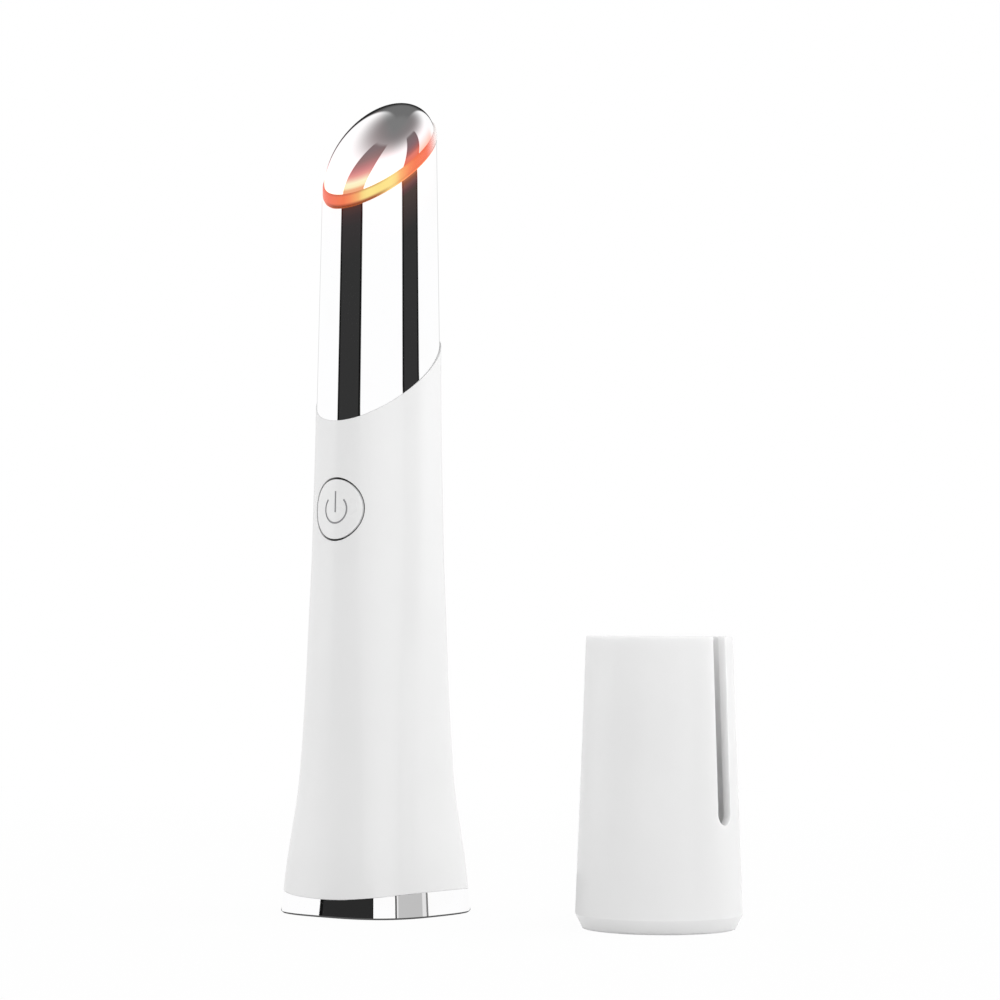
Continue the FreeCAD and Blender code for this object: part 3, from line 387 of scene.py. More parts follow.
@dataclass(frozen=True)
class RingGlow:
    """Light of the slanted ring, yellow at one azimuth and redder away from it.

    Each stop is an angle from that azimuth in degrees, widest first, and the colour there.
    """

    stops: tuple[tuple[float, Colour], ...]
    hot_azimuth: float = 40.0

    def colour(self, work: NodeWork) -> bpy.types.NodeSocket:
        """The light's colour round the ring.

        Args:
            work: the material's nodes.

        Returns:
            The colour.
        """
        near = round_wand(work, self.hot_azimuth) * 0.5 + 0.5
        stops = [((1 + cosine(angle)) / 2, colour) for angle, colour in self.stops]
        ramp = work.add("ShaderNodeValToRGB", {"stops": stops}, {"Fac": near})
        return ramp.outputs["Color"]


@dataclass(frozen=True)
class Spill:
    """The ring's light painted onto the plating beside it as a glow, in front and to the side.

    Each stop is a distance from the ring's edge in millimetres, and the light's colour there.
    """

    front: tuple[tuple[float, Colour], ...]
    side: tuple[tuple[float, Colour], ...]
    painted_glow: Colour = WHITE
    painted_glow_end: float = 1.7
    reach: float = 7.0
    painted_glow_azimuth: float = 97.0
    painted_glow_turns: tuple[float, float] = (7.0, 19.0)
    turns: tuple[float, float] = (24.0, 64.0)

    def distance(self, work: NodeWork) -> Value:
        """The distance from the ring's nearer edge, in metres."""
        return work.maths("ABSOLUTE", over_ring(work), 0.0) - LightRing.thick * MM / 2

    def colour(self, work: NodeWork) -> bpy.types.NodeSocket:
        """The light over a surface.

        Args:
            work: the material's nodes.

        Returns:
            Its colour.
        """
        share = self.distance(work) / (self.reach * MM)
        ramps = []
        for stops in (self.front, self.side):
            placed = [(away / self.reach, colour) for away, colour in stops]
            ramps.append(work.add("ShaderNodeValToRGB", {"stops": placed}, {"Fac": share}))
        ahead = facing(work, 0.0, *self.turns)
        light = work.mixed(ahead, ramps[1].outputs["Color"], ramps[0].outputs["Color"])
        return work.mixed(lit_front(work), BLACK, light)

    def tinted(self, work: NodeWork, metal: bpy.types.NodeSocket) -> bpy.types.NodeSocket:
        """The metal's colour, with a painted glow tint that stands for the ring's light at the
        side.

        Args:
            work: the material's nodes.
            metal: the metal's own colour.

        Returns:
            The colour with the painted glow.
        """
        # painted light: the metal is tinted towards the ring's glow near its edge, at the side
        near = 1.0 - self.distance(work).rising(0.0, self.painted_glow_end * MM)
        aside = facing(work, self.painted_glow_azimuth, *self.painted_glow_turns)
        return work.mixed(near * aside, metal, self.painted_glow)


@dataclass(frozen=True)
class MirrorChrome(Finish):
    """Polished plating, which may carry the painted light of the ring beside it."""

    spill: Spill | None = None
    haze_scale: float = 90.0
    haze_edge: tuple[float, float] = (0.45, 0.75)
    haze_tint: Colour = (0.985, 0.98, 0.975)
    polish_scale: float = 900.0
    polish_stretch: Triple = (1.0, 1.0, 0.15)
    polish_change: float = 0.03

    def dress(self, work: NodeWork, shader: bpy.types.Node) -> None:
        """Adds the metal, its polish marks and the ring's painted light.

        Args:
            work: the material's nodes.
            shader: its Principled shader.
        """
        work.feed(shader.inputs["Metallic"], 1.0)
        haze = work.noise(self.haze_scale, FINE_DETAIL).rising(*self.haze_edge)
        warmer = tuple(part * tint for part, tint in zip(self.colour, self.haze_tint))
        metal = work.mixed(haze, self.colour, warmer)
        work.feed(shader.inputs["Base Color"], metal)
        fine = work.noise(self.polish_scale, vector=work.stretched(self.polish_stretch))
        work.feed(shader.inputs["Roughness"], fine * self.polish_change + self.roughness)
        # painted light: the ring's glow is painted into the plating's colour and its emission
        if self.spill:
            work.feed(shader.inputs["Base Color"], self.spill.tinted(work, metal))
            work.feed(shader.inputs["Emission Color"], self.spill.colour(work))
            work.feed(shader.inputs["Emission Strength"], 1.0)


@dataclass(frozen=True)
class GlowingPlastic(Finish):
    """Translucent plastic lit from inside by the lamps under it, and frosted where they aren't.

    Painted shade dims its light towards the low and the high edge, over shares of half the ring's
    height, most near one azimuth.
    """

    glow: RingGlow | None = None
    unlit: Colour = (0.80, 0.75, 0.73)
    uneven_and_edge_shade: Colour = (0.10, 0.04, 0.015)
    low_edge_shade: float = 0.0
    high_edge_shade: float = 0.0
    low_reach: tuple[float, float] = (-0.8, -0.25)
    high_reach: tuple[float, float] = (0.65, 1.0)
    low_azimuth: float = 11.0
    low_turns: tuple[float, float] = (20.0, 43.0)
    low_share: float = 0.8
    uneven_scale: float = 420.0
    uneven_edge: tuple[float, float] = (0.2, 0.8)
    uneven: float = 0.06
    specular: float = 0.2

    def dress(self, work: NodeWork, shader: bpy.types.Node) -> None:
        """Adds the light, a little uneven as it is through a diffuser, with painted shade at its
        edges.

        Args:
            work: the material's nodes.
            shader: its Principled shader.
        """
        front = lit_front(work)
        work.feed(shader.inputs["Base Color"], work.mixed(front, self.unlit, self.colour))
        uneven = work.noise(self.uneven_scale).rising(*self.uneven_edge) * self.uneven
        lit = work.mixed(uneven, self.glow.colour(work), self.uneven_and_edge_shade)
        # painted shade: the light darkens to a dark brown towards the rounded low and high edges,
        # most near one azimuth
        over, half = over_ring(work), LightRing.thick * MM / 2
        low, high = (over.rising(half * reach[0], half * reach[1])
                     for reach in (self.low_reach, self.high_reach))
        dim = (1.0 - low) * self.low_edge_shade + high * self.high_edge_shade
        low_side = facing(work, self.low_azimuth, *self.low_turns)
        share = low_side * self.low_share + (1.0 - self.low_share)
        lit = work.mixed(dim * share, lit, self.uneven_and_edge_shade)
        work.feed(shader.inputs["Emission Color"], work.mixed(front, BLACK, lit))
        work.feed(shader.inputs["Emission Strength"], 1.0)
        work.feed(shader.inputs["Specular IOR Level"], self.specular)


@dataclass(frozen=True)
class TurnedMetal(Finish):
    """Machined or drawn metal with lines round its axis."""

    stretch: Triple = (60.0, 60.0, 4000.0)
    line_shade: float = 0.78
    line_change: float = 0.25
    line_drop: float = 0.12
    line_depth: float = 3e-6

    def dress(self, work: NodeWork, shader: bpy.types.Node) -> None:
        """Adds the metal and its lines.

        Args:
            work: the material's nodes.
            shader: its Principled shader.
        """
        work.feed(shader.inputs["Metallic"], 1.0)
        lines = work.noise(1.0, FINE_DETAIL, work.stretched(self.stretch))
        darker = shaded(self.colour, self.line_shade)
        work.feed(shader.inputs["Base Color"], work.mixed(lines, darker, self.colour))
        rougher = lines * self.line_change + (self.roughness - self.line_drop)
        work.feed(shader.inputs["Roughness"], rougher)
        work.feed(shader.inputs["Normal"], work.bump(lines, self.line_depth))


@dataclass(frozen=True)
class SoftRubber(Finish):
    """Rubber, silicone or foam: matt, mottled and slightly pitted."""

    pit: float = 0.0003
    pit_depth: float = 1.5e-5
    pit_change: float = 0.2
    mottle_share: float = 0.4
    pale_gain: float = 1.25
    pale_lift: float = 0.01

    def dress(self, work: NodeWork, shader: bpy.types.Node) -> None:
        """Adds the mottling and the pits.

        Args:
            work: the material's nodes.
            shader: its Principled shader.
        """
        mottle = work.noise(self.mottle_share / self.pit, FINE_DETAIL)
        paler = tuple(min(1.0, part * self.pale_gain + self.pale_lift) for part in self.colour)
        work.feed(shader.inputs["Base Color"], work.mixed(mottle, self.colour, paler))
        pits = work.noise(1.0 / self.pit)
        rougher = pits * self.pit_change + (self.roughness - self.pit_change / 2)
        work.feed(shader.inputs["Roughness"], rougher)
        work.feed(shader.inputs["Normal"], work.bump(pits, self.pit_depth))


@dataclass(frozen=True)
class CircuitBoard(Finish):
    """Solder mask over copper tracks."""

    track: float = 0.0016
    track_edge: tuple[float, float] = (0.30, 0.36)
    track_depth: float = 3e-5
    disorder: float = 0.35
    copper: Colour = (0.10, 0.42, 0.22)
    coat: float = 0.5

    def dress(self, work: NodeWork, shader: bpy.types.Node) -> None:
        """Adds the tracks under the mask.

        Args:
            work: the material's nodes.
            shader: its Principled shader.
        """
        cells = work.add("ShaderNodeTexVoronoi", {"distance": "CHEBYCHEV", "feature": "F1"},
                         {"Vector": work.place(), "Scale": 1.0 / self.track,
                          "Randomness": self.disorder})
        tracks = Value(work, cells.outputs["Distance"]).rising(*self.track_edge)
        work.feed(shader.inputs["Base Color"], work.mixed(tracks, self.colour, self.copper))
        work.feed(shader.inputs["Normal"], work.bump(tracks, self.track_depth))
        work.feed(shader.inputs["Coat Weight"], self.coat)


@dataclass(frozen=True)
class PrintedFilm(Finish):
    """Thin film with conductor lines: the heater's foil or the cell's sleeve."""

    line: float = 0.0007
    line_edge: tuple[float, float] = (0.4, 0.6)
    line_depth: float = 2e-5
    band_width: float = 0.16
    waver: float = 0.6
    ink: Colour = (0.55, 0.28, 0.08)

    def dress(self, work: NodeWork, shader: bpy.types.Node) -> None:
        """Adds the lines.

        Args:
            work: the material's nodes.
            shader: its Principled shader.
        """
        waves = work.add("ShaderNodeTexWave", {"wave_type": "BANDS", "bands_direction": "X"},
                         {"Vector": work.place(), "Scale": self.band_width / self.line,
                          "Distortion": self.waver})
        lines = Value(work, waves.outputs["Fac"]).rising(*self.line_edge)
        work.feed(shader.inputs["Base Color"], work.mixed(lines, self.colour, self.ink))
        work.feed(shader.inputs["Normal"], work.bump(lines, self.line_depth))


RING_LIGHT = RingGlow(stops=(
    (95.0, (0.58, 0.12, 0.07)), (60.0, (0.615, 0.135, 0.07)), (38.0, (0.63, 0.17, 0.067)),
    (31.0, (0.66, 0.235, 0.095)), (26.0, (0.68, 0.33, 0.12)), (21.0, (0.68, 0.43, 0.15)),
    (17.0, (0.71, 0.66, 0.22)), (12.0, (0.70, 0.75, 0.25)), (0.0, (0.70, 0.75, 0.235))))
# painted light: the ring's glow as it lies on the neck's and the head's plating
NECK_SPILL = Spill(
    front=((0.0, (0.10, 0.02, 0.0)), (0.15, (0.06, 0.004, 0.0)), (0.4, (0.045, 0.010, 0.008)),
           (1.2, (0.022, 0.005, 0.006)), (2.5, (0.008, 0.003, 0.004)), (7.0, (0.0, 0.0, 0.0))),
    side=((0.0, (0.45, 0.135, 0.055)), (0.45, (0.245, 0.064, 0.027)), (1.0, (0.158, 0.05, 0.045)),
          (1.5, (0.087, 0.025, 0.027)), (2.15, (0.041, 0.021, 0.015)),
          (4.0, (0.025, 0.011, 0.009)), (7.0, (0.0, 0.0, 0.0))))
HEAD_SPILL = Spill(
    front=((0.0, (0.87, 0.36, 0.18)), (0.35, (0.86, 0.40, 0.20)), (0.7, (0.96, 0.84, 0.50)),
           (1.15, (0.95, 0.87, 0.57)), (1.55, (0.86, 0.49, 0.37)), (1.9, (0.74, 0.25, 0.215)),
           (2.3, (0.54, 0.145, 0.145)), (2.7, (0.37, 0.09, 0.09)), (3.2, (0.20, 0.06, 0.058)),
           (3.9, (0.11, 0.045, 0.05)), (7.0, (0.0, 0.0, 0.0))),
    side=((0.0, (0.80, 0.15, 0.08)), (0.6, (0.70, 0.14, 0.09)), (0.95, (0.386, 0.06, 0.044)),
          (1.4, (0.19, 0.027, 0.034)), (1.8, (0.117, 0.022, 0.036)), (2.7, (0.06, 0.02, 0.025)),
          (4.5, (0.0, 0.0, 0.0))),
    painted_glow=(0.88, 0.48, 0.43))
FINISHES: dict[str, Finish] = {
    "handle_white": MouldedPlastic(colour=grey(0.78), roughness=0.30),
    "button_white": MouldedPlastic(colour=grey(0.785), roughness=0.28),
    "cap_white": MouldedPlastic(colour=grey(0.78), roughness=0.34, coat=0.15,
                                depth=0.0015),
    "plate_white": MouldedPlastic(colour=grey(0.74), roughness=0.5, grain=0.0004,
                                  grain_depth=4e-6, coat=0.0),
    "ring_chrome": MirrorChrome(colour=(0.985, 0.985, 0.99), roughness=0.012),
    "neck_chrome": MirrorChrome(colour=(0.99, 0.99, 0.995), roughness=0.010,
                                spill=NECK_SPILL),
    "head_chrome": MirrorChrome(colour=(0.985, 0.985, 0.99), roughness=0.018,
                                spill=HEAD_SPILL),
    "light_red": GlowingPlastic(colour=(0.28, 0.03, 0.02), roughness=0.35, glow=RING_LIGHT,
                                low_edge_shade=0.95, high_edge_shade=0.55),
    "carrier_white": MouldedPlastic(colour=(0.72, 0.72, 0.70), roughness=0.45, coat=0.0),
    "chassis_grey": MouldedPlastic(colour=(0.34, 0.36, 0.38), roughness=0.5, coat=0.0,
                                   grain=0.0004, grain_depth=4e-6),
    "screw_steel": TurnedMetal(colour=(0.62, 0.62, 0.63), roughness=0.32),
    "socket_steel": TurnedMetal(colour=(0.70, 0.70, 0.71), roughness=0.28,
                                stretch=(4000.0, 60.0, 60.0)),
    "shaft_steel": TurnedMetal(colour=(0.72, 0.72, 0.73), roughness=0.24),
    "motor_steel": TurnedMetal(colour=(0.66, 0.66, 0.67), roughness=0.30),
    "weight_metal": TurnedMetal(colour=(0.35, 0.35, 0.37), roughness=0.5,
                                stretch=(900.0, 900.0, 900.0)),
    "seal_rubber": SoftRubber(colour=grey(0.02), roughness=0.6),
    "boot_rubber": SoftRubber(colour=(0.03, 0.03, 0.032), roughness=0.65),
    # painted shade in part: the grey membrane is darker than its own pale colour, so that the gap
    # round the button looks shaded
    "membrane_silicone": SoftRubber(colour=grey(0.30), roughness=0.5),
    "board_green": CircuitBoard(colour=(0.015, 0.16, 0.06), roughness=0.35),
    "chip_black": MouldedPlastic(colour=(0.015, 0.015, 0.017), roughness=0.5, coat=0.0),
    "switch_black": MouldedPlastic(colour=(0.02, 0.02, 0.022), roughness=0.4, coat=0.0),
    "plunger_black": MouldedPlastic(colour=grey(0.03), roughness=0.35, coat=0.0),
    "led_red": GlowingPlastic(colour=(0.8, 0.1, 0.06), roughness=0.2, glow=RING_LIGHT),
    "heater_film": PrintedFilm(colour=(0.62, 0.34, 0.08), roughness=0.4),
    "pad_grey": SoftRubber(colour=(0.28, 0.33, 0.40), roughness=0.7),
    "sensor_black": MouldedPlastic(colour=grey(0.01), roughness=0.15),
    "cell_blue": PrintedFilm(colour=(0.03, 0.12, 0.40), roughness=0.3, line=0.006,
                             ink=(0.04, 0.15, 0.46)),
    "foam_black": SoftRubber(colour=grey(0.02), roughness=0.9, pit=0.0005,
                             pit_depth=8e-5),
    "lead_red": SoftRubber(colour=(0.42, 0.02, 0.015), roughness=0.5),
    "lead_blue": SoftRubber(colour=(0.02, 0.05, 0.34), roughness=0.5),
    "lead_black": SoftRubber(colour=grey(0.02), roughness=0.5),
}
SYMBOL_GREY = MouldedPlastic(colour=(0.32, 0.32, 0.33), roughness=0.5, coat=0.0)
# painted shade: a dark colour for the button's side deep in its gap, where it lies in shadow
PAINTED_GAP_SHADE = SoftRubber(colour=grey(0.05), roughness=0.5)


class Wardrobe:
    """Makes each finish's material once."""

    def __init__(self) -> None:
        """Starts with nothing made."""
        self.made: dict[str, bpy.types.Material] = {}

    def material(self, slot: str) -> bpy.types.Material:
        """The material of one slot of the record.

        Args:
            slot: the slot's name.

        Returns:
            Its material, made when it is first asked for.
        """
        if slot not in self.made:
            self.made[slot] = FINISHES[slot].material(slot)
        return self.made[slot]

    def dress_nodes(self, record: dict) -> None:
        """Gives every CAD node the material of its slot.

        Args:
            record: the record of the part.
        """
        for subpart in record["subparts"]:
            node = frame["nodes"][subpart["node"]]
            for held in node.material_slots:
                held.material = self.material(subpart["material_slot"])


# ---- forms


def smooth_through(points: Sequence[tuple[float, float]], at: float) -> float:
    """The value at a place on a smooth line through points, which doesn't overshoot them.

    Args:
        points: places and values, in order of place.
        at: the place.

    Returns:
        The value there.
    """
    last = len(points) - 2
    index = next((i for i in range(last) if at < points[i + 1][0]), last)
    slopes = [(after[1] - before[1]) / (after[0] - before[0])
              for before, after in zip(points, points[1:])]

    def lean(i: int) -> float:
        """The line's slope at one of the points.

        Args:
            i: the point's number.

        Returns:
            The slope.
        """
        if i in (0, len(points) - 1):
            return slopes[min(i, last)]
        left, right = slopes[i - 1], slopes[i]
        return 0.0 if left * right <= 0 else 2 * left * right / (left + right)

    (start, low), (end, high) = points[index], points[index + 1]
    span = end - start
    share = (at - start) / span
    square, cube = share ** 2, share ** 3
    return ((2 * cube - 3 * square + 1) * low + (cube - 2 * square + share) * span * lean(index)
            + (3 * square - 2 * cube) * high + (cube - square) * span * lean(index + 1))


@dataclass(frozen=True)
class Station:
    """One level of the handle's form: its half width and how square it is, 2 being round."""

    height: float
    half: float
    power: float


@dataclass(frozen=True)
class HandleForm:
    """The outer form of the handle and of the foot ring."""

    stations: tuple[Station, ...] = (
        Station(0.0, 14.25, 3.0), Station(8.3, 13.6, 2.85), Station(22.0, 12.1, 2.6),
        Station(35.5, 11.6, 2.35), Station(49.0, 11.35, 2.15), Station(62.5, 11.1, 2.0),
        Station(83.0, 10.65, 2.0), Station(101.0, 10.5, 2.0))

    def half(self, height: float) -> float:
        """Half the width across the flats at a height."""
        return smooth_through([(s.height, s.half) for s in self.stations], height)

    def power(self, height: float) -> float:
        """How square the section is at a height."""
        return smooth_through([(s.height, s.power) for s in self.stations], height)

    def point(self, angle: float, height: float, inset: float = 0.0) -> Vector:
        """A point of the form.

        Args:
            angle: the angle from the front, -Y, towards +X.
            height: the height.
            inset: how far the form is pulled in.

        Returns:
            The point.
        """
        across, front = math.sin(angle), math.cos(angle)
        power = self.power(height)
        reach = (self.half(height) - inset) / (
            abs(across) ** power + abs(front) ** power) ** (1 / power)
        return Vector((reach * across, -reach * front, height))

    def front(self, across: float, height: float, inset: float = 0.0) -> float:
        """The Y of the form's front at a place across, where its section is round."""
        return -math.sqrt((self.half(height) - inset) ** 2 - across ** 2)


FORM = HandleForm()


@dataclass(frozen=True)
class Level:
    """A cut through the wand: level, sloping to the back, or following the foot ring's wave."""

    height: float
    slope: float = 0.0
    wave: float = 0.0

    def at(self, spot: Vector) -> float:
        """The cut's height over a spot.

        Args:
            spot: the spot, whose own height has no part in it.

        Returns:
            The height.
        """
        half, rise = FootRing.half, FootRing.rise
        radius = (half ** 2 + rise ** 2) / (2 * rise)
        lift = radius - math.sqrt(radius ** 2 - spot.x ** 2)
        return self.height + self.slope * spot.y + self.wave * lift

    def towards(self, other: "Level", share: float) -> "Level":
        """The cut that lies a share of the way to another one."""
        return Level(*(a + (b - a) * share for a, b in zip(
            (self.height, self.slope, self.wave), (other.height, other.slope, other.wave))))


def levels_between(first: Level, last: Level, count: int) -> list[Level]:
    """Evenly spaced levels from one up to, but without, another."""
    return [first.towards(last, index / count) for index in range(count)]


# ---- mesh work


def edges_at(verts: Sequence[BMVert]) -> list[BMEdge]:
    """The edges at some points, each once and in the same order at every run."""
    return list(dict.fromkeys(edge for vert in verts for edge in vert.link_edges))


def faces_at(verts: Sequence[BMVert]) -> list[BMFace]:
    """The faces at some points, each once and in the same order at every run."""
    return list(dict.fromkeys(face for vert in verts for face in vert.link_faces))


def new_object(bm: BMesh, name: str) -> bpy.types.Object:
    """Turns a built mesh into an object of the scene.

    Args:
        bm: the mesh, which is freed.
        name: the name of the object and of its mesh.

    Returns:
        The object.
    """
    data = bpy.data.meshes.new(name)
    bm.to_mesh(data)
    bm.free()
    made = bpy.data.objects.new(name, data)
    bpy.context.scene.collection.objects.link(made)
    return made


def stack_rings(bm: BMesh, rings: Sequence[RingShape], segments: int,
                closed: bool = True) -> None:
    """Lofts through rings by bridging each to the next.

    Args:
        bm: the mesh that is built.
        rings: for each ring, a function from the angle to the point.
        segments: the number of points of each ring.
        closed: whether the last ring is bridged to the first; otherwise both ends are filled.
    """
    loops: list[list[BMEdge]] = []
    for ring in rings:
        made = bmesh.ops.create_circle(bm, cap_ends=False, segments=segments, radius=1.0)["verts"]
        for vert in made:
            vert.co = ring(math.atan2(vert.co.y, vert.co.x))
        loops.append(edges_at(made))
    for first, second in zip(loops, loops[1:]):
        bmesh.ops.bridge_loops(bm, edges=first + second)
    if closed:
        bmesh.ops.bridge_loops(bm, edges=loops[-1] + loops[0])
    else:
        for loop in (loops[0], loops[-1]):
            bmesh.ops.edgeloop_fill(bm, edges=loop)
    bmesh.ops.recalc_face_normals(bm, faces=bm.faces)


def mirrored_sheet(bm: BMesh, columns: int, rows: int, place: Callable[[float, int], Vector],
                   over: Symmetry) -> None:
    """Adds a grid shaped by a function, and its mirror image joined to it.

    Args:
        bm: the mesh that is built.
        columns: the number of cells along a row.
        rows: the number of rows of points.
        place: from the share along a row and the row's number to the point.
        over: the plane that it is mirrored over.
    """
    made: list[BMVert] = bmesh.ops.create_grid(
        bm, x_segments=columns, y_segments=rows - 1, size=1.0)["verts"]
    for vert in made:
        share, row = (vert.co.x + 1) / 2, round((vert.co.y + 1) / 2 * (rows - 1))
        vert.co = place(share, row)
    bmesh.ops.mirror(bm, geom=[*made, *edges_at(made), *faces_at(made)],
                     matrix=Matrix.Identity(4), merge_dist=MERGE, axis=over.value)


def borders(bm: BMesh) -> list[list[BMEdge]]:
    """The open borders of a mesh, each as its own run of edges.

    Args:
        bm: the mesh that is built.

    Returns:
        The runs.
    """
    left = dict.fromkeys(edge for edge in bm.edges if len(edge.link_faces) == 1)
    runs = []
    while left:
        run, ends = [], [left.popitem()[0]]
        while ends:
            edge = ends.pop()
            run.append(edge)
            for vert in edge.verts:
                for other in vert.link_edges:
                    if other in left:
                        del left[other]
                        ends.append(other)
        runs.append(run)
    return runs


def middle(run: Sequence[BMEdge]) -> Vector:
    """The middle of a run of edges."""
    return sum((vert.co for edge in run for vert in edge.verts), Vector()) / (2 * len(run))


def close_wall(bm: BMesh, outer: Callable[[], None], inner: Callable[[], None]) -> None:
    """Builds an outer and an inner sheet and closes the wall between them at every border.

    Args:
        bm: the mesh that is built.
        outer: adds the outer sheet.
        inner: adds the inner sheet.
    """
    outer()
    bmesh.ops.remove_doubles(bm, verts=bm.verts, dist=MERGE)
    outer_runs = borders(bm)
    known = {edge for run in outer_runs for edge in run}
    before = set(bm.verts)
    inner()
    added = [vert for vert in bm.verts if vert not in before]
    bmesh.ops.remove_doubles(bm, verts=added, dist=MERGE)
    inner_runs = [run for run in borders(bm) if run[0] not in known]
    for run in outer_runs:
        partner = min(inner_runs, key=lambda other: (middle(other) - middle(run)).length)
        bmesh.ops.bridge_loops(bm, edges=run + partner)
    bmesh.ops.recalc_face_normals(bm, faces=bm.faces)


def round_edges(bm: BMesh, offset: float, segments: int = 3, sharper_than: float = 22.0,
                where: Callable[[Vector], bool] = lambda spot: True) -> None:
    """Rounds the edges that turn by more than an angle.

    Args:
        bm: the mesh that is built.
        offset: how far the rounding reaches from the edge.
        segments: the number of steps in it.
        sharper_than: the angle in degrees.
        where: keeps only edges whose middle passes this test.
    """
    limit = math.radians(sharper_than)
    sharp = [edge for edge in bm.edges if edge.is_manifold and edge.calc_face_angle() > limit
             and where((edge.verts[0].co + edge.verts[1].co) / 2)]
    bmesh.ops.bevel(bm, geom=sharp, offset=offset, offset_type="OFFSET", segments=segments,
                    profile=0.5, affect="EDGES", clamp_overlap=True, material=-1)


class Piece(ABC):
    """A piece of the object that stands for one CAD node.

    Its edges stay sharp from an angle in degrees, if one is given.
    """

    node: str
    slot: str
    body: Body = Body.WAND
    sharp: float | None = None
    even: bool = False
    face_weight: int = 80

    @abstractmethod
    def shape(self, bm: BMesh) -> None:
        """Builds the piece's mesh in millimetres."""

    def mesh(self) -> bpy.types.Object:
        """Builds the mesh, scaled to metres, as a smooth object.

        Returns:
            The object.
        """
        bm = bmesh.new()
        self.shape(bm)
        bmesh.ops.scale(bm, vec=(MM, MM, MM), verts=bm.verts)
        made = new_object(bm, f"{self.node}_piece")
        made.data.shade_smooth()
        return made

    def finish(self, made: bpy.types.Object) -> None:
        """Keeps edges sharp from the piece's angle on, and its broad faces even.

        Normals weighted by face size leave the faces beside rounded edges even.

        Args:
            made: the piece's object.
        """
        if self.sharp is not None:
            made.data.set_sharp_from_angle(angle=math.radians(self.sharp))
        if self.even:
            weighted = made.modifiers.new("even_faces", "WEIGHTED_NORMAL")
            weighted.weight = self.face_weight
            weighted.keep_sharp = self.sharp is not None

    def build(self, wardrobe: Wardrobe) -> bpy.types.Object:
        """Builds, dresses and mounts the piece.

        Args:
            wardrobe: where its material comes from.

        Returns:
            The piece's object.
        """
        made = self.mesh()
        made.data.materials.append(wardrobe.material(self.slot))
        self.finish(made)
        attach(made, self.body.value)
        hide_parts(self.node)
        return made


# ---- the wand


@dataclass
class FootRing(Piece):
    """The mirror-bright ring under the handle, higher at its sides, with its inner spigot."""

    half: float = 14.25
    front: float = 3.0
    rise: float = 1.25
    edge: float = 0.30
    edge_steps: tuple[float, ...] = (0.0, 0.3, 0.7, 1.0)
    face_rows: int = 6
    lip: float = 0.03
    lip_step: float = 0.3
    seat: float = 1.9
    spigot_wall: float = 1.2
    spigot_top: float = 7.5
    segments: int = 192
    passes: int = 3
    node = "base_ring"
    slot = "ring_chrome"
    sharp = 18.0
    even = True

    def ring(self, level: Level, inset: float) -> RingShape:
        """One ring of the section.

        Args:
            level: the level that it lies on.
            inset: how far it is pulled in from the form.

        Returns:
            The function from the angle to the point.
        """
        def point(angle: float) -> Vector:
            """The point of the ring, found by turns on the form and on the level.

            Args:
                angle: the angle from the front, -Y, towards +X.

            Returns:
                The point.
            """
            spot = FORM.point(angle, level.height, inset)
            for _ in range(self.passes):
                spot = FORM.point(angle, level.at(spot), inset)
            return spot
        return point

    def shape(self, bm: BMesh) -> None:
        """Lofts round the section: chamfer, mirror face, top, spigot and bore.

        Args:
            bm: the mesh that is built.
        """
        top = Level(self.front, wave=1.0)
        under_lip = Level(self.front - self.lip, wave=1.0)
        over_edge = Level(self.edge)
        rings = [self.ring(Level(self.edge * share), self.edge * (1.0 - share))
                 for share in self.edge_steps]
        rings += [self.ring(level, 0.0)
                  for level in levels_between(over_edge, under_lip, self.face_rows)[1:]]
        rounded = self.lip * self.lip_step
        rings += [self.ring(under_lip, 0.0),
                  self.ring(Level(self.front - rounded, wave=1.0), rounded),
                  self.ring(top, self.lip), self.ring(top, self.seat),
                  self.ring(Level(self.spigot_top), self.seat),
                  self.ring(Level(self.spigot_top), self.seat + self.spigot_wall),
                  self.ring(Level(0.0), self.seat + self.spigot_wall)]
        stack_rings(bm, rings, self.segments)


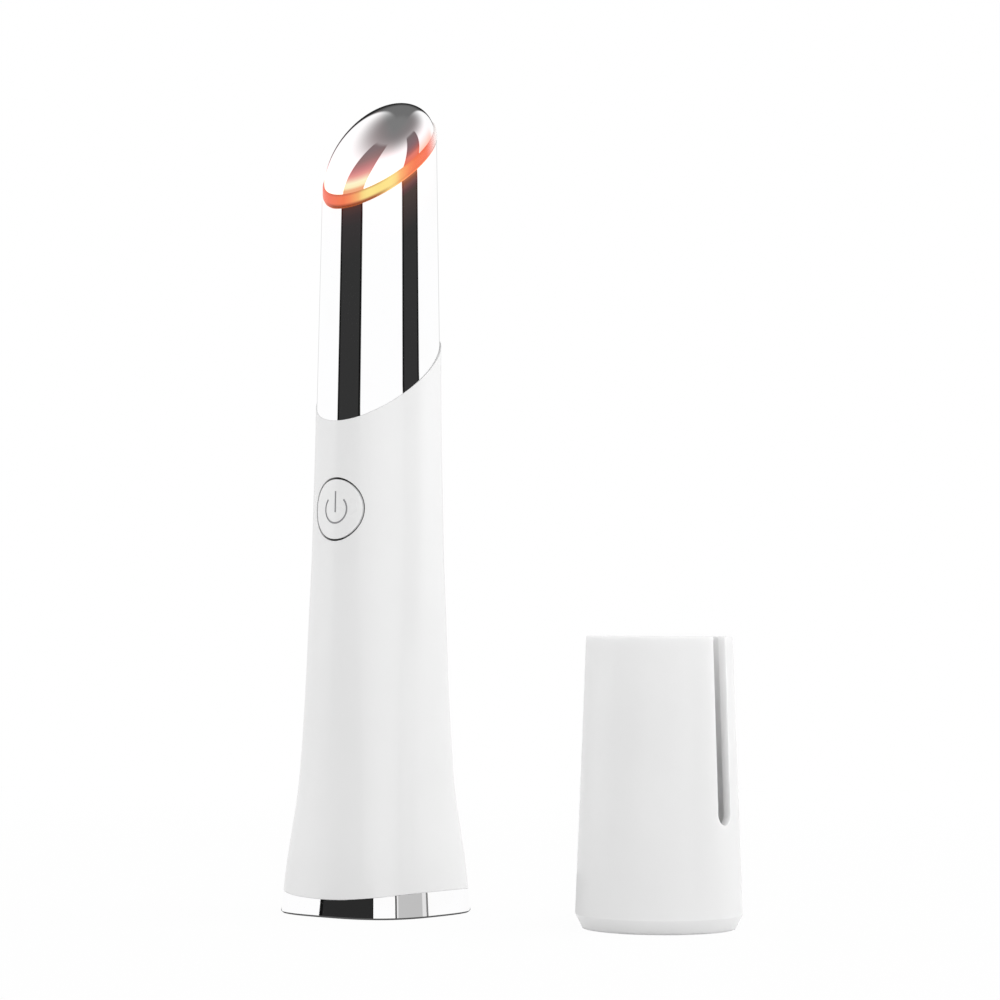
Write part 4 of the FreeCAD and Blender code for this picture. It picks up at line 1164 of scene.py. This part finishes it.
@dataclass
class HandleShell(Piece):
    """The white handle: a rounded square foot that turns round towards a slanted mouth."""

    wall: float = 1.8
    foot_gap: float = 0.02
    flare_end: float = 12.0
    button_height: float = 67.5
    hole_radius: float = 5.33
    flare_rows: int = 8
    body_rows: int = 26
    hole_rows: int = 28
    over_rows: int = 4
    mouth_rows: int = 12
    step: float = 0.01
    spigot_foot: float = 77.25
    mouth_bore: float = 9.0
    mouth_height: float = 90.39
    mouth_tilt: float = 37.4
    columns: int = 64
    passes: int = 4
    edge: float = 0.05
    node = "handle_shell"
    slot = "handle_white"
    sharp = 35.0
    even = True

    def mouth(self) -> Level:
        """The slanted cut at the top."""
        return Level(self.mouth_height, math.tan(math.radians(self.mouth_tilt)))

    def rows(self) -> list[Level]:
        """The levels of the rows of points, from the foot ring to the mouth.

        Returns:
            The levels, in order of height.
        """
        foot = Level(FootRing.front + self.foot_gap, wave=1.0)
        flare = Level(self.flare_end)
        under = Level(self.button_height - self.hole_radius)
        over = Level(self.button_height + self.hole_radius)
        spigot = Level(self.spigot_foot)
        over_step = Level(self.spigot_foot + self.step)
        round_hole = [Level(self.button_height - self.hole_radius
                            * math.cos(math.pi * row / self.hole_rows))
                      for row in range(self.hole_rows)]
        return [*levels_between(foot, flare, self.flare_rows),
                *levels_between(flare, under, self.body_rows), *round_hole,
                *levels_between(over, spigot, self.over_rows), spigot,
                *levels_between(over_step, self.mouth(), self.mouth_rows), self.mouth()]

    def sheet(self, bm: BMesh, inner: bool) -> None:
        """Adds the outer or the inner face of the wall.

        Args:
            bm: the mesh that is built.
            inner: whether it is the inner face.
        """
        rows = self.rows()

        def place(share: float, number: int) -> Vector:
            """The point at a share of the way round a row, from the hole's edge to the back.

            Args:
                share: the share.
                number: the row's number.

            Returns:
                The point.
            """
            level = rows[number]
            spot = Vector((0.0, 0.0, level.height))
            height = level.height
            for _ in range(self.passes):
                half = FORM.half(height)
                inset = 0.0
                if inner:
                    inset = half - self.mouth_bore if height > self.spigot_foot else self.wall
                over = height - self.button_height
                cut = math.sqrt(max(0.0, self.hole_radius ** 2 - over ** 2))
                start = math.asin(cut / (half - inset))
                angle = start + share * (math.pi - start)
                spot = FORM.point(angle, height, inset)
                height = level.at(spot)
            return Vector((spot.x, spot.y, height))

        mirrored_sheet(bm, self.columns, len(rows), place, Symmetry.SIDEWAYS)

    def shape(self, bm: BMesh) -> None:
        """Closes the wall between both faces and rounds the edges of the button's hole.

        Args:
            bm: the mesh that is built.
        """
        close_wall(bm, lambda: self.sheet(bm, False), lambda: self.sheet(bm, True))
        reach = self.hole_radius + self.wall
        round_edges(bm, self.edge, sharper_than=self.sharp,
                    where=lambda spot: abs(spot.z - self.button_height) < reach)


@dataclass
class PowerButton(Piece):
    """The round button, whose face follows the handle, with a grooved power symbol."""

    height: float = 67.5
    radius: float = 4.99
    round_edge: float = 0.05
    painted_shade_depth: float = 0.42
    back: float = 8.2
    stem_radius: float = 1.2
    stem_back: float = 6.85
    ring_radius: float = 2.3
    line: float = 0.30
    depth: float = 0.12
    open_half: float = 46.0
    bar_top: float = 3.0
    bar_foot: float = 0.5
    face_rings: int = 12
    round_steps: int = 3
    arc_steps: int = 60
    bar_steps: int = 12
    cutter_height: float = 1.0
    symbol_reach: float = 4.0
    slack: float = 0.01
    segments: int = 128
    node = "power_button"
    slot = "button_white"
    body = Body.BUTTON
    sharp = 30.0

    def ring(self, radius: float, sunk: float = 0.0) -> RingShape:
        """A ring of the face.

        Args:
            radius: its radius, seen from the front.
            sunk: how far it lies under the face.

        Returns:
            The function from the angle to the point.
        """
        def point(angle: float) -> Vector:
            """The point of the ring, on the handle's form and sunk."""
            across, height = radius * math.cos(angle), self.height + radius * math.sin(angle)
            return Vector((across, FORM.front(across, height) + sunk, height))
        return point

    def flat_ring(self, radius: float, back: float) -> RingShape:
        """A ring behind the face, at a distance before the wand's axis."""
        return lambda angle: Vector((radius * math.cos(angle), -back,
                                     self.height + radius * math.sin(angle)))

    def shape(self, bm: BMesh) -> None:
        """Lofts the face out from its middle, round the edge and back to the stem.

        Args:
            bm: the mesh that is built.
        """
        inside = self.radius - self.round_edge
        rings = [self.ring(inside * number / self.face_rings)
                 for number in range(1, self.face_rings + 1)]
        for step in range(1, self.round_steps + 1):
            turn = math.pi / 2 * step / self.round_steps
            rings.append(self.ring(inside + self.round_edge * math.sin(turn),
                                   self.round_edge * (1 - math.cos(turn))))
        rings += [self.ring(self.radius, self.painted_shade_depth), self.flat_ring(self.radius, self.back),
                  self.flat_ring(self.stem_radius, self.back),
                  self.flat_ring(self.stem_radius, self.stem_back)]
        stack_rings(bm, rings, self.segments, closed=False)

    def stroke(self, bm: BMesh, steps: int, place: Callable[[float, float], tuple]) -> None:
        """Adds the block that cuts one stroke of the symbol, with its floor along the face.

        Args:
            bm: the cutter's mesh.
            steps: the number of cells along the stroke.
            place: from the shares along and over the stroke to the place across and up.
        """
        rims = []
        for lift in (0.0, self.cutter_height):
            made = bmesh.ops.create_grid(bm, x_segments=steps, y_segments=1, size=1.0)["verts"]
            for vert in made:
                across, up = place((vert.co.x + 1) / 2, vert.co.y)
                height = self.height + up
                vert.co = (across, FORM.front(across, height) + self.depth - lift, height)
            rims += [edge for edge in edges_at(made) if edge.is_boundary]
        bmesh.ops.bridge_loops(bm, edges=rims)

    def symbol(self) -> bpy.types.Object:
        """The cutter of both strokes: the open arc and the bar.

        Returns:
            The cutter's object.
        """
        bm = bmesh.new()
        opening = math.radians(self.open_half)

        def arc(share: float, side: float) -> tuple[float, float]:
            """The place across and up at a share of the arc, and at one side of its line.

            Args:
                share: the share along the arc.
                side: -1 for its inner side and 1 for its outer one.

            Returns:
                The place, from the middle of the symbol.
            """
            turn = opening + share * 2 * (math.pi - opening)
            radius = self.ring_radius + side * self.line / 2
            return radius * math.sin(turn), radius * math.cos(turn)

        def bar(share: float, side: float) -> tuple[float, float]:
            """The place across and up at a share of the bar, and at one side of its line."""
            return side * self.line / 2, share * (self.bar_top + self.bar_foot) - self.bar_foot

        self.stroke(bm, self.arc_steps, arc)
        self.stroke(bm, self.bar_steps, bar)
        bmesh.ops.recalc_face_normals(bm, faces=bm.faces)
        bmesh.ops.scale(bm, vec=(MM, MM, MM), verts=bm.verts)
        return new_object(bm, "symbol_cutter")

    def finish(self, made: bpy.types.Object) -> None:
        """Cuts the symbol, fills its floor with grey and paints shade on the side, deep in the gap
        round the button.

        Args:
            made: the button's object.
        """
        cutter, own = self.symbol(), made.data.materials[0]
        groove = made.modifiers.new("symbol", "BOOLEAN")
        groove.operation, groove.solver, groove.object = "DIFFERENCE", "EXACT", cutter
        cut = bpy.data.meshes.new_from_object(
            made.evaluated_get(bpy.context.evaluated_depsgraph_get()))
        made.modifiers.clear()
        made.data = cut
        bpy.data.objects.remove(cutter)
        cut.materials.clear()
        for material in (own, SYMBOL_GREY.material("symbol_grey"),
                         PAINTED_GAP_SHADE.material("painted_gap_shade")):
            cut.materials.append(material)
        for face in cut.polygons:
            spot = face.center / MM
            aside = (spot.xz - Vector((0, self.height))).length
            sunk = spot.y - FORM.front(spot.x, spot.z)
            if spot.y < -self.back and aside < self.symbol_reach:
                face.material_index = 1 if sunk > self.depth / 4 else 0
            # painted shade: the side deep in the gap round the button gets a dark colour
            elif aside > self.radius - self.slack and sunk > self.painted_shade_depth:
                face.material_index = 2
        cut.shade_smooth()
        super().finish(made)


@dataclass
class NeckSleeve(Piece):
    """The mirror-bright neck between the slanted mouth and the slanted light ring."""

    seam_radius: float = 10.405
    top_radius: float = 9.73
    top_rise: float = 35.87
    wall: float = 1.1
    seam_gap: float = 0.02
    spigot_radius: float = 8.9
    spigot_bore: float = 7.2
    spigot_foot: float = 77.25
    step_height: float = 104.0
    seal_middle: float = 80.05
    seal_half: float = 0.55
    groove_radius: float = 7.9
    rows: int = 24
    segments: int = 256
    passes: int = 4
    node = "neck_sleeve"
    slot = "neck_chrome"
    sharp = 40.0

    def ring(self, level: Level, radius: float | None = None) -> RingShape:
        """A ring on a level.

        Args:
            level: the level.
            radius: its radius, which is that of the neck's cone where none is given.

        Returns:
            The function from the angle to the point.
        """
        seam = HandleShell.mouth_height

        def point(angle: float) -> Vector:
            """The point of the ring, found by turns on the cone and on the level.

            Args:
                angle: the angle from +X towards +Y.

            Returns:
                The point.
            """
            spot = Vector((0.0, 0.0, level.height))
            for _ in range(self.passes):
                reach = radius or self.seam_radius + (self.top_radius - self.seam_radius) * (
                    spot.z - seam) / self.top_rise
                spot.x, spot.y = reach * math.cos(angle), reach * math.sin(angle)
                spot.z = level.at(spot)
            return spot
        return point

    def shape(self, bm: BMesh) -> None:
        """Lofts up the outside, over the slanted top, and down the bore and the spigot.

        Args:
            bm: the mesh that is built.
        """
        mouth = HandleShell().mouth()
        low = Level(mouth.height + self.seam_gap, mouth.slope)
        high = LightRing().level(-LightRing.thick / 2)
        rings = [self.ring(level) for level in levels_between(low, high, self.rows)]
        groove_low, groove_high = (Level(self.seal_middle + side * self.seal_half)
                                   for side in (-1, 1))
        rings += [self.ring(high), self.ring(high, self.top_radius - self.wall),
                  self.ring(Level(self.step_height), self.top_radius - self.wall),
                  self.ring(Level(self.step_height), self.spigot_bore),
                  self.ring(Level(self.spigot_foot), self.spigot_bore),
                  self.ring(Level(self.spigot_foot), self.spigot_radius),
                  self.ring(groove_low, self.spigot_radius),
                  self.ring(groove_low, self.groove_radius),
                  self.ring(groove_high, self.groove_radius),
                  self.ring(groove_high, self.spigot_radius),
                  self.ring(low, self.spigot_radius)]
        stack_rings(bm, rings, self.segments)


@dataclass
class LightRing(Piece):
    """The thin translucent ring under the head, on the slant, with rounded edges."""

    height: float = 127.11
    tilt: float = 39.4
    thick: float = 1.63
    bulge: float = 0.25
    round_edge: float = 0.35
    bore: float = 7.6
    bore_shift: float = 0.8
    round_steps: int = 5
    segments: int = 192
    node = "light_ring"
    slot = "light_red"
    sharp = 40.0

    def level(self, over: float) -> Level:
        """The slanted cut at a distance over the ring's middle plane."""
        tilt = math.radians(self.tilt)
        return Level(self.height + over / math.cos(tilt), math.tan(tilt))

    def outer(self, over: float, inset: float) -> RingShape:
        """A ring of the outside, pulled in by an inset.

        Args:
            over: its distance over the ring's middle plane.
            inset: how far it is pulled in.

        Returns:
            The function from the angle to the point.
        """
        level = self.level(over)
        head = MassageHead()
        wide, tall = head.radius + self.bulge, head.rise + self.bulge

        def point(angle: float) -> Vector:
            """The point where the slant meets the head's ball, made larger by the bulge.

            Args:
                angle: the angle from +X towards +Y.

            Returns:
                The point.
            """
            lean = (level.slope - head.slope) * math.sin(angle)
            lift = level.height - head.height
            first = 1 / wide ** 2 + (lean / tall) ** 2
            second = lift * lean / tall ** 2
            third = (lift / tall) ** 2 - 1
            reach = (math.sqrt(second ** 2 - first * third) - second) / first
            if lift + lean * reach < 0:
                reach = wide
            reach -= inset
            spot = Vector((reach * math.cos(angle), reach * math.sin(angle), 0.0))
            spot.z = level.at(spot)
            return spot
        return point

    def inner(self, over: float) -> RingShape:
        """A ring of the bore, which is round on the slant.

        Args:
            over: its distance over the ring's middle plane.

        Returns:
            The function from the angle to the point.
        """
        tilt = math.radians(self.tilt)

        def point(angle: float) -> Vector:
            """The point of the bore."""
            along = self.bore * math.sin(angle) + self.bore_shift
            return Vector((self.bore * math.cos(angle),
                           along * math.cos(tilt) - over * math.sin(tilt),
                           self.height + along * math.sin(tilt) + over * math.cos(tilt)))
        return point

    def shape(self, bm: BMesh) -> None:
        """Lofts round the section, whose outer edges are quarter rounds.

        Args:
            bm: the mesh that is built.
        """
        flat = self.thick / 2 - self.round_edge
        rings = []
        for side in (-1, 1):
            turns = [math.pi / 2 * step / self.round_steps
                     for step in range(self.round_steps, -1, -1)]
            if side > 0:
                turns.reverse()
            rings += [self.outer(side * (flat + self.round_edge * math.sin(turn)),
                                 self.round_edge * (1 - math.cos(turn))) for turn in turns]
        rings += [self.inner(self.thick / 2), self.inner(-self.thick / 2)]
        stack_rings(bm, rings, self.segments)


@dataclass
class MassageHead(Piece):
    """The mirror-bright head: a ball sheared along the slope of its rim."""

    height: float = 126.78
    radius: float = 9.47
    slope: float = 0.645
    rise: float = 9.05
    wall: float = 0.9
    collar: float = 12.0
    around: int = 192
    upwards: int = 120
    node = "massage_head"
    slot = "head_chrome"
    sharp = 50.0

    def ball(self, bm: BMesh, inset: float) -> None:
        """Adds the sheared ball on its collar, pulled in by an inset and cut at the light ring.

        Args:
            bm: the mesh that is built.
            inset: how far it is pulled in.
        """
        radius, rise = self.radius - inset, self.rise - inset

        def place(share: float, row: int) -> Vector:
            """The point at a share of the way along a row, from the front to the back.

            Args:
                share: the share.
                row: the row's number, from the foot of the collar to the top.

            Returns:
                The point.
            """
            turn, lift = math.pi * share, math.pi * (row / self.upwards - 0.5)
            flat, fall = (1.0, self.collar) if lift < 0 else (math.cos(lift), rise)
            back = -radius * flat * math.cos(turn)
            return Vector((radius * flat * math.sin(turn), back,
                           self.height + self.slope * back + fall * math.sin(lift)))

        known = set(bm.verts)
        mirrored_sheet(bm, self.around // 2, self.upwards + 1, place, Symmetry.SIDEWAYS)
        verts = [vert for vert in bm.verts if vert not in known]
        cut = LightRing().level(LightRing.thick / 2)
        bmesh.ops.bisect_plane(bm, geom=[*verts, *edges_at(verts), *faces_at(verts)],
                               dist=MERGE, plane_co=(0.0, 0.0, cut.height),
                               plane_no=(0.0, -cut.slope, 1.0), clear_inner=True)

    def shape(self, bm: BMesh) -> None:
        """Closes the wall between the outer and the inner ball."""
        close_wall(bm, lambda: self.ball(bm, 0.0), lambda: self.ball(bm, self.wall))


# ---- the cap


@dataclass
class SlottedCap(Piece):
    """The white cap, open end up, with a chamfered closed end and two long slots."""

    across: float = 52.6
    behind: float = 8.2
    height: float = 46.6
    closed_radius: float = 12.25
    shoulder_radius: float = 13.4
    shoulder_height: float = 2.3
    rim_radius: float = 11.75
    wall: float = 1.4
    floor: float = 1.8
    slot_wide: float = 3.4
    slot_foot: float = 16.8
    disc_shares: tuple[float, ...] = (0.0, 0.3, 0.6, 0.85, 0.97)
    foot_rows: int = 10
    slot_rows: int = 12
    wall_rows: int = 16
    columns: int = 80
    edge: float = 0.16
    node = "cap"
    slot = "cap_white"
    body = Body.CAP
    even = True

    def radius_at(self, height: float) -> float:
        """The outer radius over the chamfer."""
        share = (height - self.shoulder_height) / (self.height - self.shoulder_height)
        return self.shoulder_radius + (self.rim_radius - self.shoulder_radius) * share

    def profile(self, inner: bool) -> list[tuple[float, float]]:
        """The radius and height of each row, from the middle of the closed end to the rim.

        Args:
            inner: whether it is the inner face.

        Returns:
            The rows' radii and heights.
        """
        thin = self.wall if inner else 0.0
        start = self.floor if inner else self.shoulder_height
        disc_height = self.floor if inner else 0.0
        disc_radius = self.radius_at(self.floor) - self.wall if inner else self.closed_radius
        rows = [(disc_radius * share, disc_height) for share in self.disc_shares]
        if not inner:
            rows.append((self.closed_radius, 0.0))
        half = self.slot_wide / 2
        heights = [start + (self.slot_foot - start) * row / self.foot_rows
                   for row in range(self.foot_rows)]
        heights += [self.slot_foot + half * (1 - math.cos(math.pi / 2 * row / self.slot_rows))
                    for row in range(self.slot_rows)]
        straight = self.slot_foot + half
        heights += [straight + (self.height - straight) * row / self.wall_rows
                    for row in range(self.wall_rows + 1)]
        return rows + [(self.radius_at(height) - thin, height) for height in heights]

    def sheet(self, bm: BMesh, inner: bool) -> None:
        """Adds the outer or the inner face of the wall.

        Args:
            bm: the mesh that is built.
            inner: whether it is the inner face.
        """
        rows = self.profile(inner)
        half = self.slot_wide / 2

        def place(share: float, number: int) -> Vector:
            """The point at a share of the way along a row, from one slot's edge to the other's.

            Args:
                share: the share.
                number: the row's number.

            Returns:
                The point.
            """
            radius, height = rows[number]
            under = max(0.0, self.slot_foot + half - height)
            cut = math.sqrt(max(0.0, half ** 2 - under ** 2)) if radius > half else 0.0
            start = math.asin(cut / radius) if radius else 0.0
            angle = start + share * (math.pi - 2 * start)
            return Vector((radius * math.cos(angle), radius * math.sin(angle), height))

        mirrored_sheet(bm, self.columns, len(rows), place, Symmetry.BACKWARDS)

    def shape(self, bm: BMesh) -> None:
        """Closes the wall, rounds its edges and stands the cap beside the wand.

        Args:
            bm: the mesh that is built.
        """
        close_wall(bm, lambda: self.sheet(bm, False), lambda: self.sheet(bm, True))
        round_edges(bm, self.edge)
        bmesh.ops.translate(bm, vec=(self.across, self.behind, 0.0), verts=bm.verts)


# ---- the studio

LEAN_HEIGHT = 60.0  # the elevation in degrees that a screen's upper azimuths belong to


def heading(azimuth: float, elevation: float) -> Vector:
    """The direction at an azimuth, from -Y towards +X, and an elevation, in degrees."""
    turn, lift = math.radians(azimuth), math.radians(elevation)
    return Vector((math.sin(turn) * math.cos(lift), -math.cos(turn) * math.cos(lift),
                   math.sin(lift)))


@dataclass(frozen=True)
class Screen:
    """A dark or grey screen far off in the studio, seen only by what mirrors it.

    Its straight sides are given by their azimuths at the horizon and at LEAN_HEIGHT, and its
    tone turns to its top tone between two elevations.  All angles are in degrees.  It may run
    on over the floor, from a distance in metres on and over a soft border.
    """

    left: tuple[float, float]
    right: tuple[float, float]
    low: float
    high: float
    tone: float
    top_tone: float
    turns: tuple[float, float] = (14.0, 50.0)
    soft: float = 1.2
    fade: float = 3.0
    floor_from: float | None = None
    floor_fade: float = 0.01

    def beside(self, across: Value, back: Value, up: Number) -> Value:
        """Tells where a direction lies between the screen's sides.

        Args:
            across: the direction's part along X.
            back: its part along Y.
            up: its part along Z.

        Returns:
            1 between the sides and 0 beyond them.
        """
        middle = heading((self.left[0] + self.right[0]) / 2, 0.0)
        spread = math.sin(math.radians(self.soft))
        inside = []
        for foot, top in (self.left, self.right):
            side = heading(foot, 0.0).cross(heading(top, LEAN_HEIGHT)).normalized()
            side *= math.copysign(1.0, side.dot(middle))
            ahead = across * side.x + back * side.y + up * side.z
            inside.append(ahead.rising(-spread, spread))
        return inside[0] * inside[1]


@dataclass(frozen=True)
class Card:
    """A low card that stands round the wand's foot, seen only by what mirrors it.

    It runs from its first to its last azimuth in degrees.  Its distance from the wand's axis
    and its height are in metres.
    """

    first: float
    last: float
    tone: float
    distance: float = 0.034
    height: float = 0.008
    cells: int = 24

    def build(self, name: str) -> None:
        """Bends a strip round the wand's axis and hides it from all but the mirrors.

        Args:
            name: the card's name.
        """
        bm = bmesh.new()
        bmesh.ops.create_grid(bm, x_segments=self.cells, y_segments=1, size=1.0)
        for vert in bm.verts:
            share = (vert.co.x + 1) / 2
            turn = math.radians(self.first + (self.last - self.first) * share)
            vert.co = (self.distance * math.sin(turn), -self.distance * math.cos(turn),
                       self.height * (vert.co.y + 1) / 2)
        card = staged(bm, name)
        card.visible_camera = card.visible_diffuse = card.visible_transmission = False
        card.visible_volume_scatter = card.visible_shadow = False
        work = NodeWork(card.data.materials[0].node_tree)
        light = work.add("ShaderNodeEmission", None, {"Color": opaque(grey(self.tone))})
        work.add("ShaderNodeOutputMaterial", None, {"Surface": light.outputs[0]})


@dataclass(frozen=True)
class Lamp:
    """One soft square lamp that points at the object and isn't mirrored itself.

    Its azimuth, from -Y towards +X, and elevation are in degrees, its distance and width in
    metres and its power in watts.
    """

    name: str
    azimuth: float
    elevation: float
    distance: float
    width: float
    power: float
    aim: Triple = (0.025, 0.003, 0.06)

    def hang(self) -> None:
        """Adds the lamp to the scene."""
        data = bpy.data.lights.new(self.name, "AREA")
        data.shape, data.size, data.energy = "SQUARE", self.width, self.power
        hung = bpy.data.objects.new(self.name, data)
        bpy.context.scene.collection.objects.link(hung)
        back = heading(self.azimuth, self.elevation)
        hung.location = Vector(self.aim) + back * self.distance
        hung.rotation_euler = (-back).to_track_quat("-Z", "Y").to_euler()
        hung.visible_glossy = False


def staged(bm: BMesh, name: str) -> bpy.types.Object:
    """Makes a part of the stage from a mesh, with an empty material of its own.

    Args:
        bm: the mesh, which is freed.
        name: the name of the object and of its material.

    Returns:
        The object.
    """
    made = new_object(bm, name)
    material = bpy.data.materials.new(f"{name}_paint")
    material.use_nodes = True
    made.data.materials.append(material)
    return made


@dataclass
class Studio:
    """A white sweep with soft light, dark screens round it, and the camera.

    The camera's distances are in millimetres and its angles in degrees, as the ceiling's are.
    The floor's measures are in metres: it is lit by the lamps near the object and plain white
    beyond, and its mirror image carries a painted shadow under the foot.
    """

    camera_azimuth: float = 38.4
    camera_distance: float = 524.85
    camera_aside: float = 20.63
    camera_height: float = 48.21
    camera_pitch: float = 2.32
    camera_roll: float = 0.218
    lens: float = 111.6
    sensor: float = 36.0
    clip: tuple[float, float] = (0.01, 100.0)
    ambient: float = 0.85
    ceiling_tone: float = 0.20
    ceiling_low: float = 43.0
    ceiling_high: float = 76.5
    floor_size: float = 30.0
    floor_colour: Colour = grey(0.78)
    floor_plain: float = 0.96
    plain_reach: tuple[float, float] = (0.12, 0.40)
    foot_shade: float = 0.08
    foot_reach: tuple[float, float] = (0.0175, 0.021)
    screens: tuple[Screen, ...] = (
        Screen(left=(-42.6, -29.4), right=(5.5, 17.8), low=-12.0, high=64.0, tone=0.004,
               top_tone=0.10, soft=0.8, floor_from=0.055),
        Screen(left=(-38.8, -26.0), right=(1.7, 14.4), low=-12.0, high=64.0, tone=0.033,
               top_tone=0.125, soft=0.8, floor_from=0.055),
        Screen(left=(85.3, 85.3), right=(121.8, 119.5), low=-12.0, high=62.0, tone=0.004,
               top_tone=0.10, soft=0.8, floor_from=0.09),
        Screen(left=(88.8, 88.8), right=(118.3, 116.0), low=-12.0, high=62.0, tone=0.033,
               top_tone=0.125, soft=0.8, floor_from=0.09),
        Screen(left=(-158.0, -158.0), right=(-122.0, -122.0), low=-12.0, high=12.0, tone=0.75,
               top_tone=0.75),
        Screen(left=(-155.0, -166.0), right=(-121.5, -120.0), low=12.5, high=78.0, tone=0.02,
               top_tone=0.16, turns=(29.0, 48.0), soft=2.0, fade=8.0),
    )
    cards: tuple[Card, ...] = (
        Card(first=-44.0, last=-25.7, tone=1.0),
        Card(first=-25.7, last=-24.5, tone=0.006),
        Card(first=-24.5, last=30.8, tone=0.024),
        Card(first=30.8, last=32.3, tone=0.006),
        Card(first=66.0, last=68.4, tone=0.02),
        Card(first=68.4, last=71.0, tone=0.78),
        Card(first=71.0, last=106.6, tone=0.53),
        Card(first=106.6, last=111.2, tone=0.78),
        Card(first=111.2, last=113.1, tone=0.20),
    )
    lamps: tuple[Lamp, ...] = (
        Lamp("lamp_right", azimuth=138.0, elevation=28.0, distance=1.1, width=0.9, power=4.3),
        Lamp("lamp_left", azimuth=-75.0, elevation=20.0, distance=1.2, width=0.8, power=2.6),
        Lamp("lamp_front", azimuth=48.0, elevation=10.0, distance=1.3, width=1.0, power=5.0),
    )

    def light_world(self) -> None:
        """White for the camera, the studio for what mirrors it, and soft light for the rest."""
        world = bpy.data.worlds.new("studio")
        bpy.context.scene.world = world
        world.use_nodes = True
        work = NodeWork(world.node_tree)
        across, back, up = work.parts(work.add("ShaderNodeTexCoord").outputs["Generated"])

        def above(angle: float, spread: float) -> Value:
            """1 over an elevation and 0 under it, with a soft border, in degrees."""
            return up.rising(math.sin(math.radians(angle - spread)),
                             math.sin(math.radians(angle + spread)))

        middle_height = (self.ceiling_low + self.ceiling_high) / 2
        ceiling = above(middle_height, self.ceiling_high - middle_height)
        colour = work.mixed(ceiling, WHITE, grey(self.ceiling_tone))
        for screen in self.screens:
            under_top = 1.0 - above(screen.high, screen.fade)
            mask = screen.beside(across, back, up) * above(screen.low, screen.soft) * under_top
            first, last = screen.turns
            turned = above((first + last) / 2, (last - first) / 2)
            tone = work.mixed(turned, grey(screen.tone), grey(screen.top_tone))
            colour = work.mixed(mask, colour, tone)
        mirrored, plain = work.rays()
        soft = work.mixed(plain, grey(self.ambient), WHITE)
        seen = work.mixed(mirrored, soft, colour)
        light = work.add("ShaderNodeBackground", None, {"Color": seen, "Strength": 1.0})
        work.add("ShaderNodeOutputWorld", None, {"Surface": light.outputs[0]})

    def lay_floor(self) -> None:
        """The pale floor, which keeps the object's shadow near it and runs out to plain white."""
        bm = bmesh.new()
        bmesh.ops.create_grid(bm, x_segments=2, y_segments=2, size=self.floor_size / 2)
        floor = staged(bm, "floor")
        work = NodeWork(floor.data.materials[0].node_tree)
        across, back, _ = work.parts(work.place())
        radius = from_axis(across, back)
        mirrored, plain = work.rays()
        seen = work.maths("MAXIMUM", plain, mirrored)
        beyond = radius.rising(*self.plain_reach) * (1.0 - self.floor_plain)
        share = seen * (beyond + self.floor_plain)
        # painted shadow: mirrored rays see the floor dark just round the foot
        under_foot = mirrored * (1.0 - radius.rising(*self.foot_reach))
        shade = work.mixed(under_foot, WHITE, grey(self.foot_shade))
        for screen in self.screens:
            if screen.floor_from is None:
                continue
            mask = screen.beside(across / radius, back / radius, 0.0) * mirrored
            start = screen.floor_from
            mask = mask * radius.rising(start, start + screen.floor_fade)
            shade = work.mixed(mask, shade, grey(screen.tone))
        matt = work.add("ShaderNodeBsdfDiffuse", None, {"Color": opaque(self.floor_colour)})
        white = work.add("ShaderNodeEmission", None, {"Color": shade, "Strength": 1.0})
        mix = work.add("ShaderNodeMixShader", None,
                       {0: share, 1: matt.outputs[0], 2: white.outputs[0]})
        work.add("ShaderNodeOutputMaterial", None, {"Surface": mix.outputs[0]})

    def set_camera(self) -> None:
        """Stands the camera before the object, looking slightly up."""
        turn, pitch = math.radians(self.camera_azimuth), math.radians(self.camera_pitch)
        away = Vector((math.sin(turn), -math.cos(turn), 0.0))
        aside = Vector((math.cos(turn), math.sin(turn), 0.0))
        data = bpy.data.cameras.new("camera")
        data.lens, data.sensor_width = self.lens, self.sensor
        data.clip_start, data.clip_end = self.clip
        camera = bpy.data.objects.new("camera", data)
        bpy.context.scene.collection.objects.link(camera)
        camera.location = (away * self.camera_distance + aside * self.camera_aside
                           + Vector((0.0, 0.0, self.camera_height))) * MM
        look = -away * math.cos(pitch) + Vector((0.0, 0.0, math.sin(pitch)))
        roll = Quaternion((0.0, 0.0, 1.0), math.radians(self.camera_roll))
        camera.rotation_euler = (look.to_track_quat("-Z", "Y") @ roll).to_euler()
        bpy.context.scene.camera = camera

    def build(self) -> None:
        """Sets up the whole studio."""
        bpy.context.scene.view_settings.view_transform = "Standard"
        self.light_world()
        self.lay_floor()
        for number, card in enumerate(self.cards):
            card.build(f"card_{number}")
        for lamp in self.lamps:
            lamp.hang()
        self.set_camera()


def main() -> None:
    """Builds the studio, dresses the CAD nodes and builds the pieces around them."""
    logging.basicConfig(level=logging.INFO, format="%(name)s: %(message)s")
    Studio().build()
    wardrobe = Wardrobe()
    wardrobe.dress_nodes(frame["record"])
    for piece in (FootRing(), HandleShell(), PowerButton(), NeckSleeve(), LightRing(),
                  MassageHead(), SlottedCap()):
        made = piece.build(wardrobe)
        LOG.info("%s: %d faces", made.name, len(made.data.polygons))


if __name__ == "__main__":
    main()
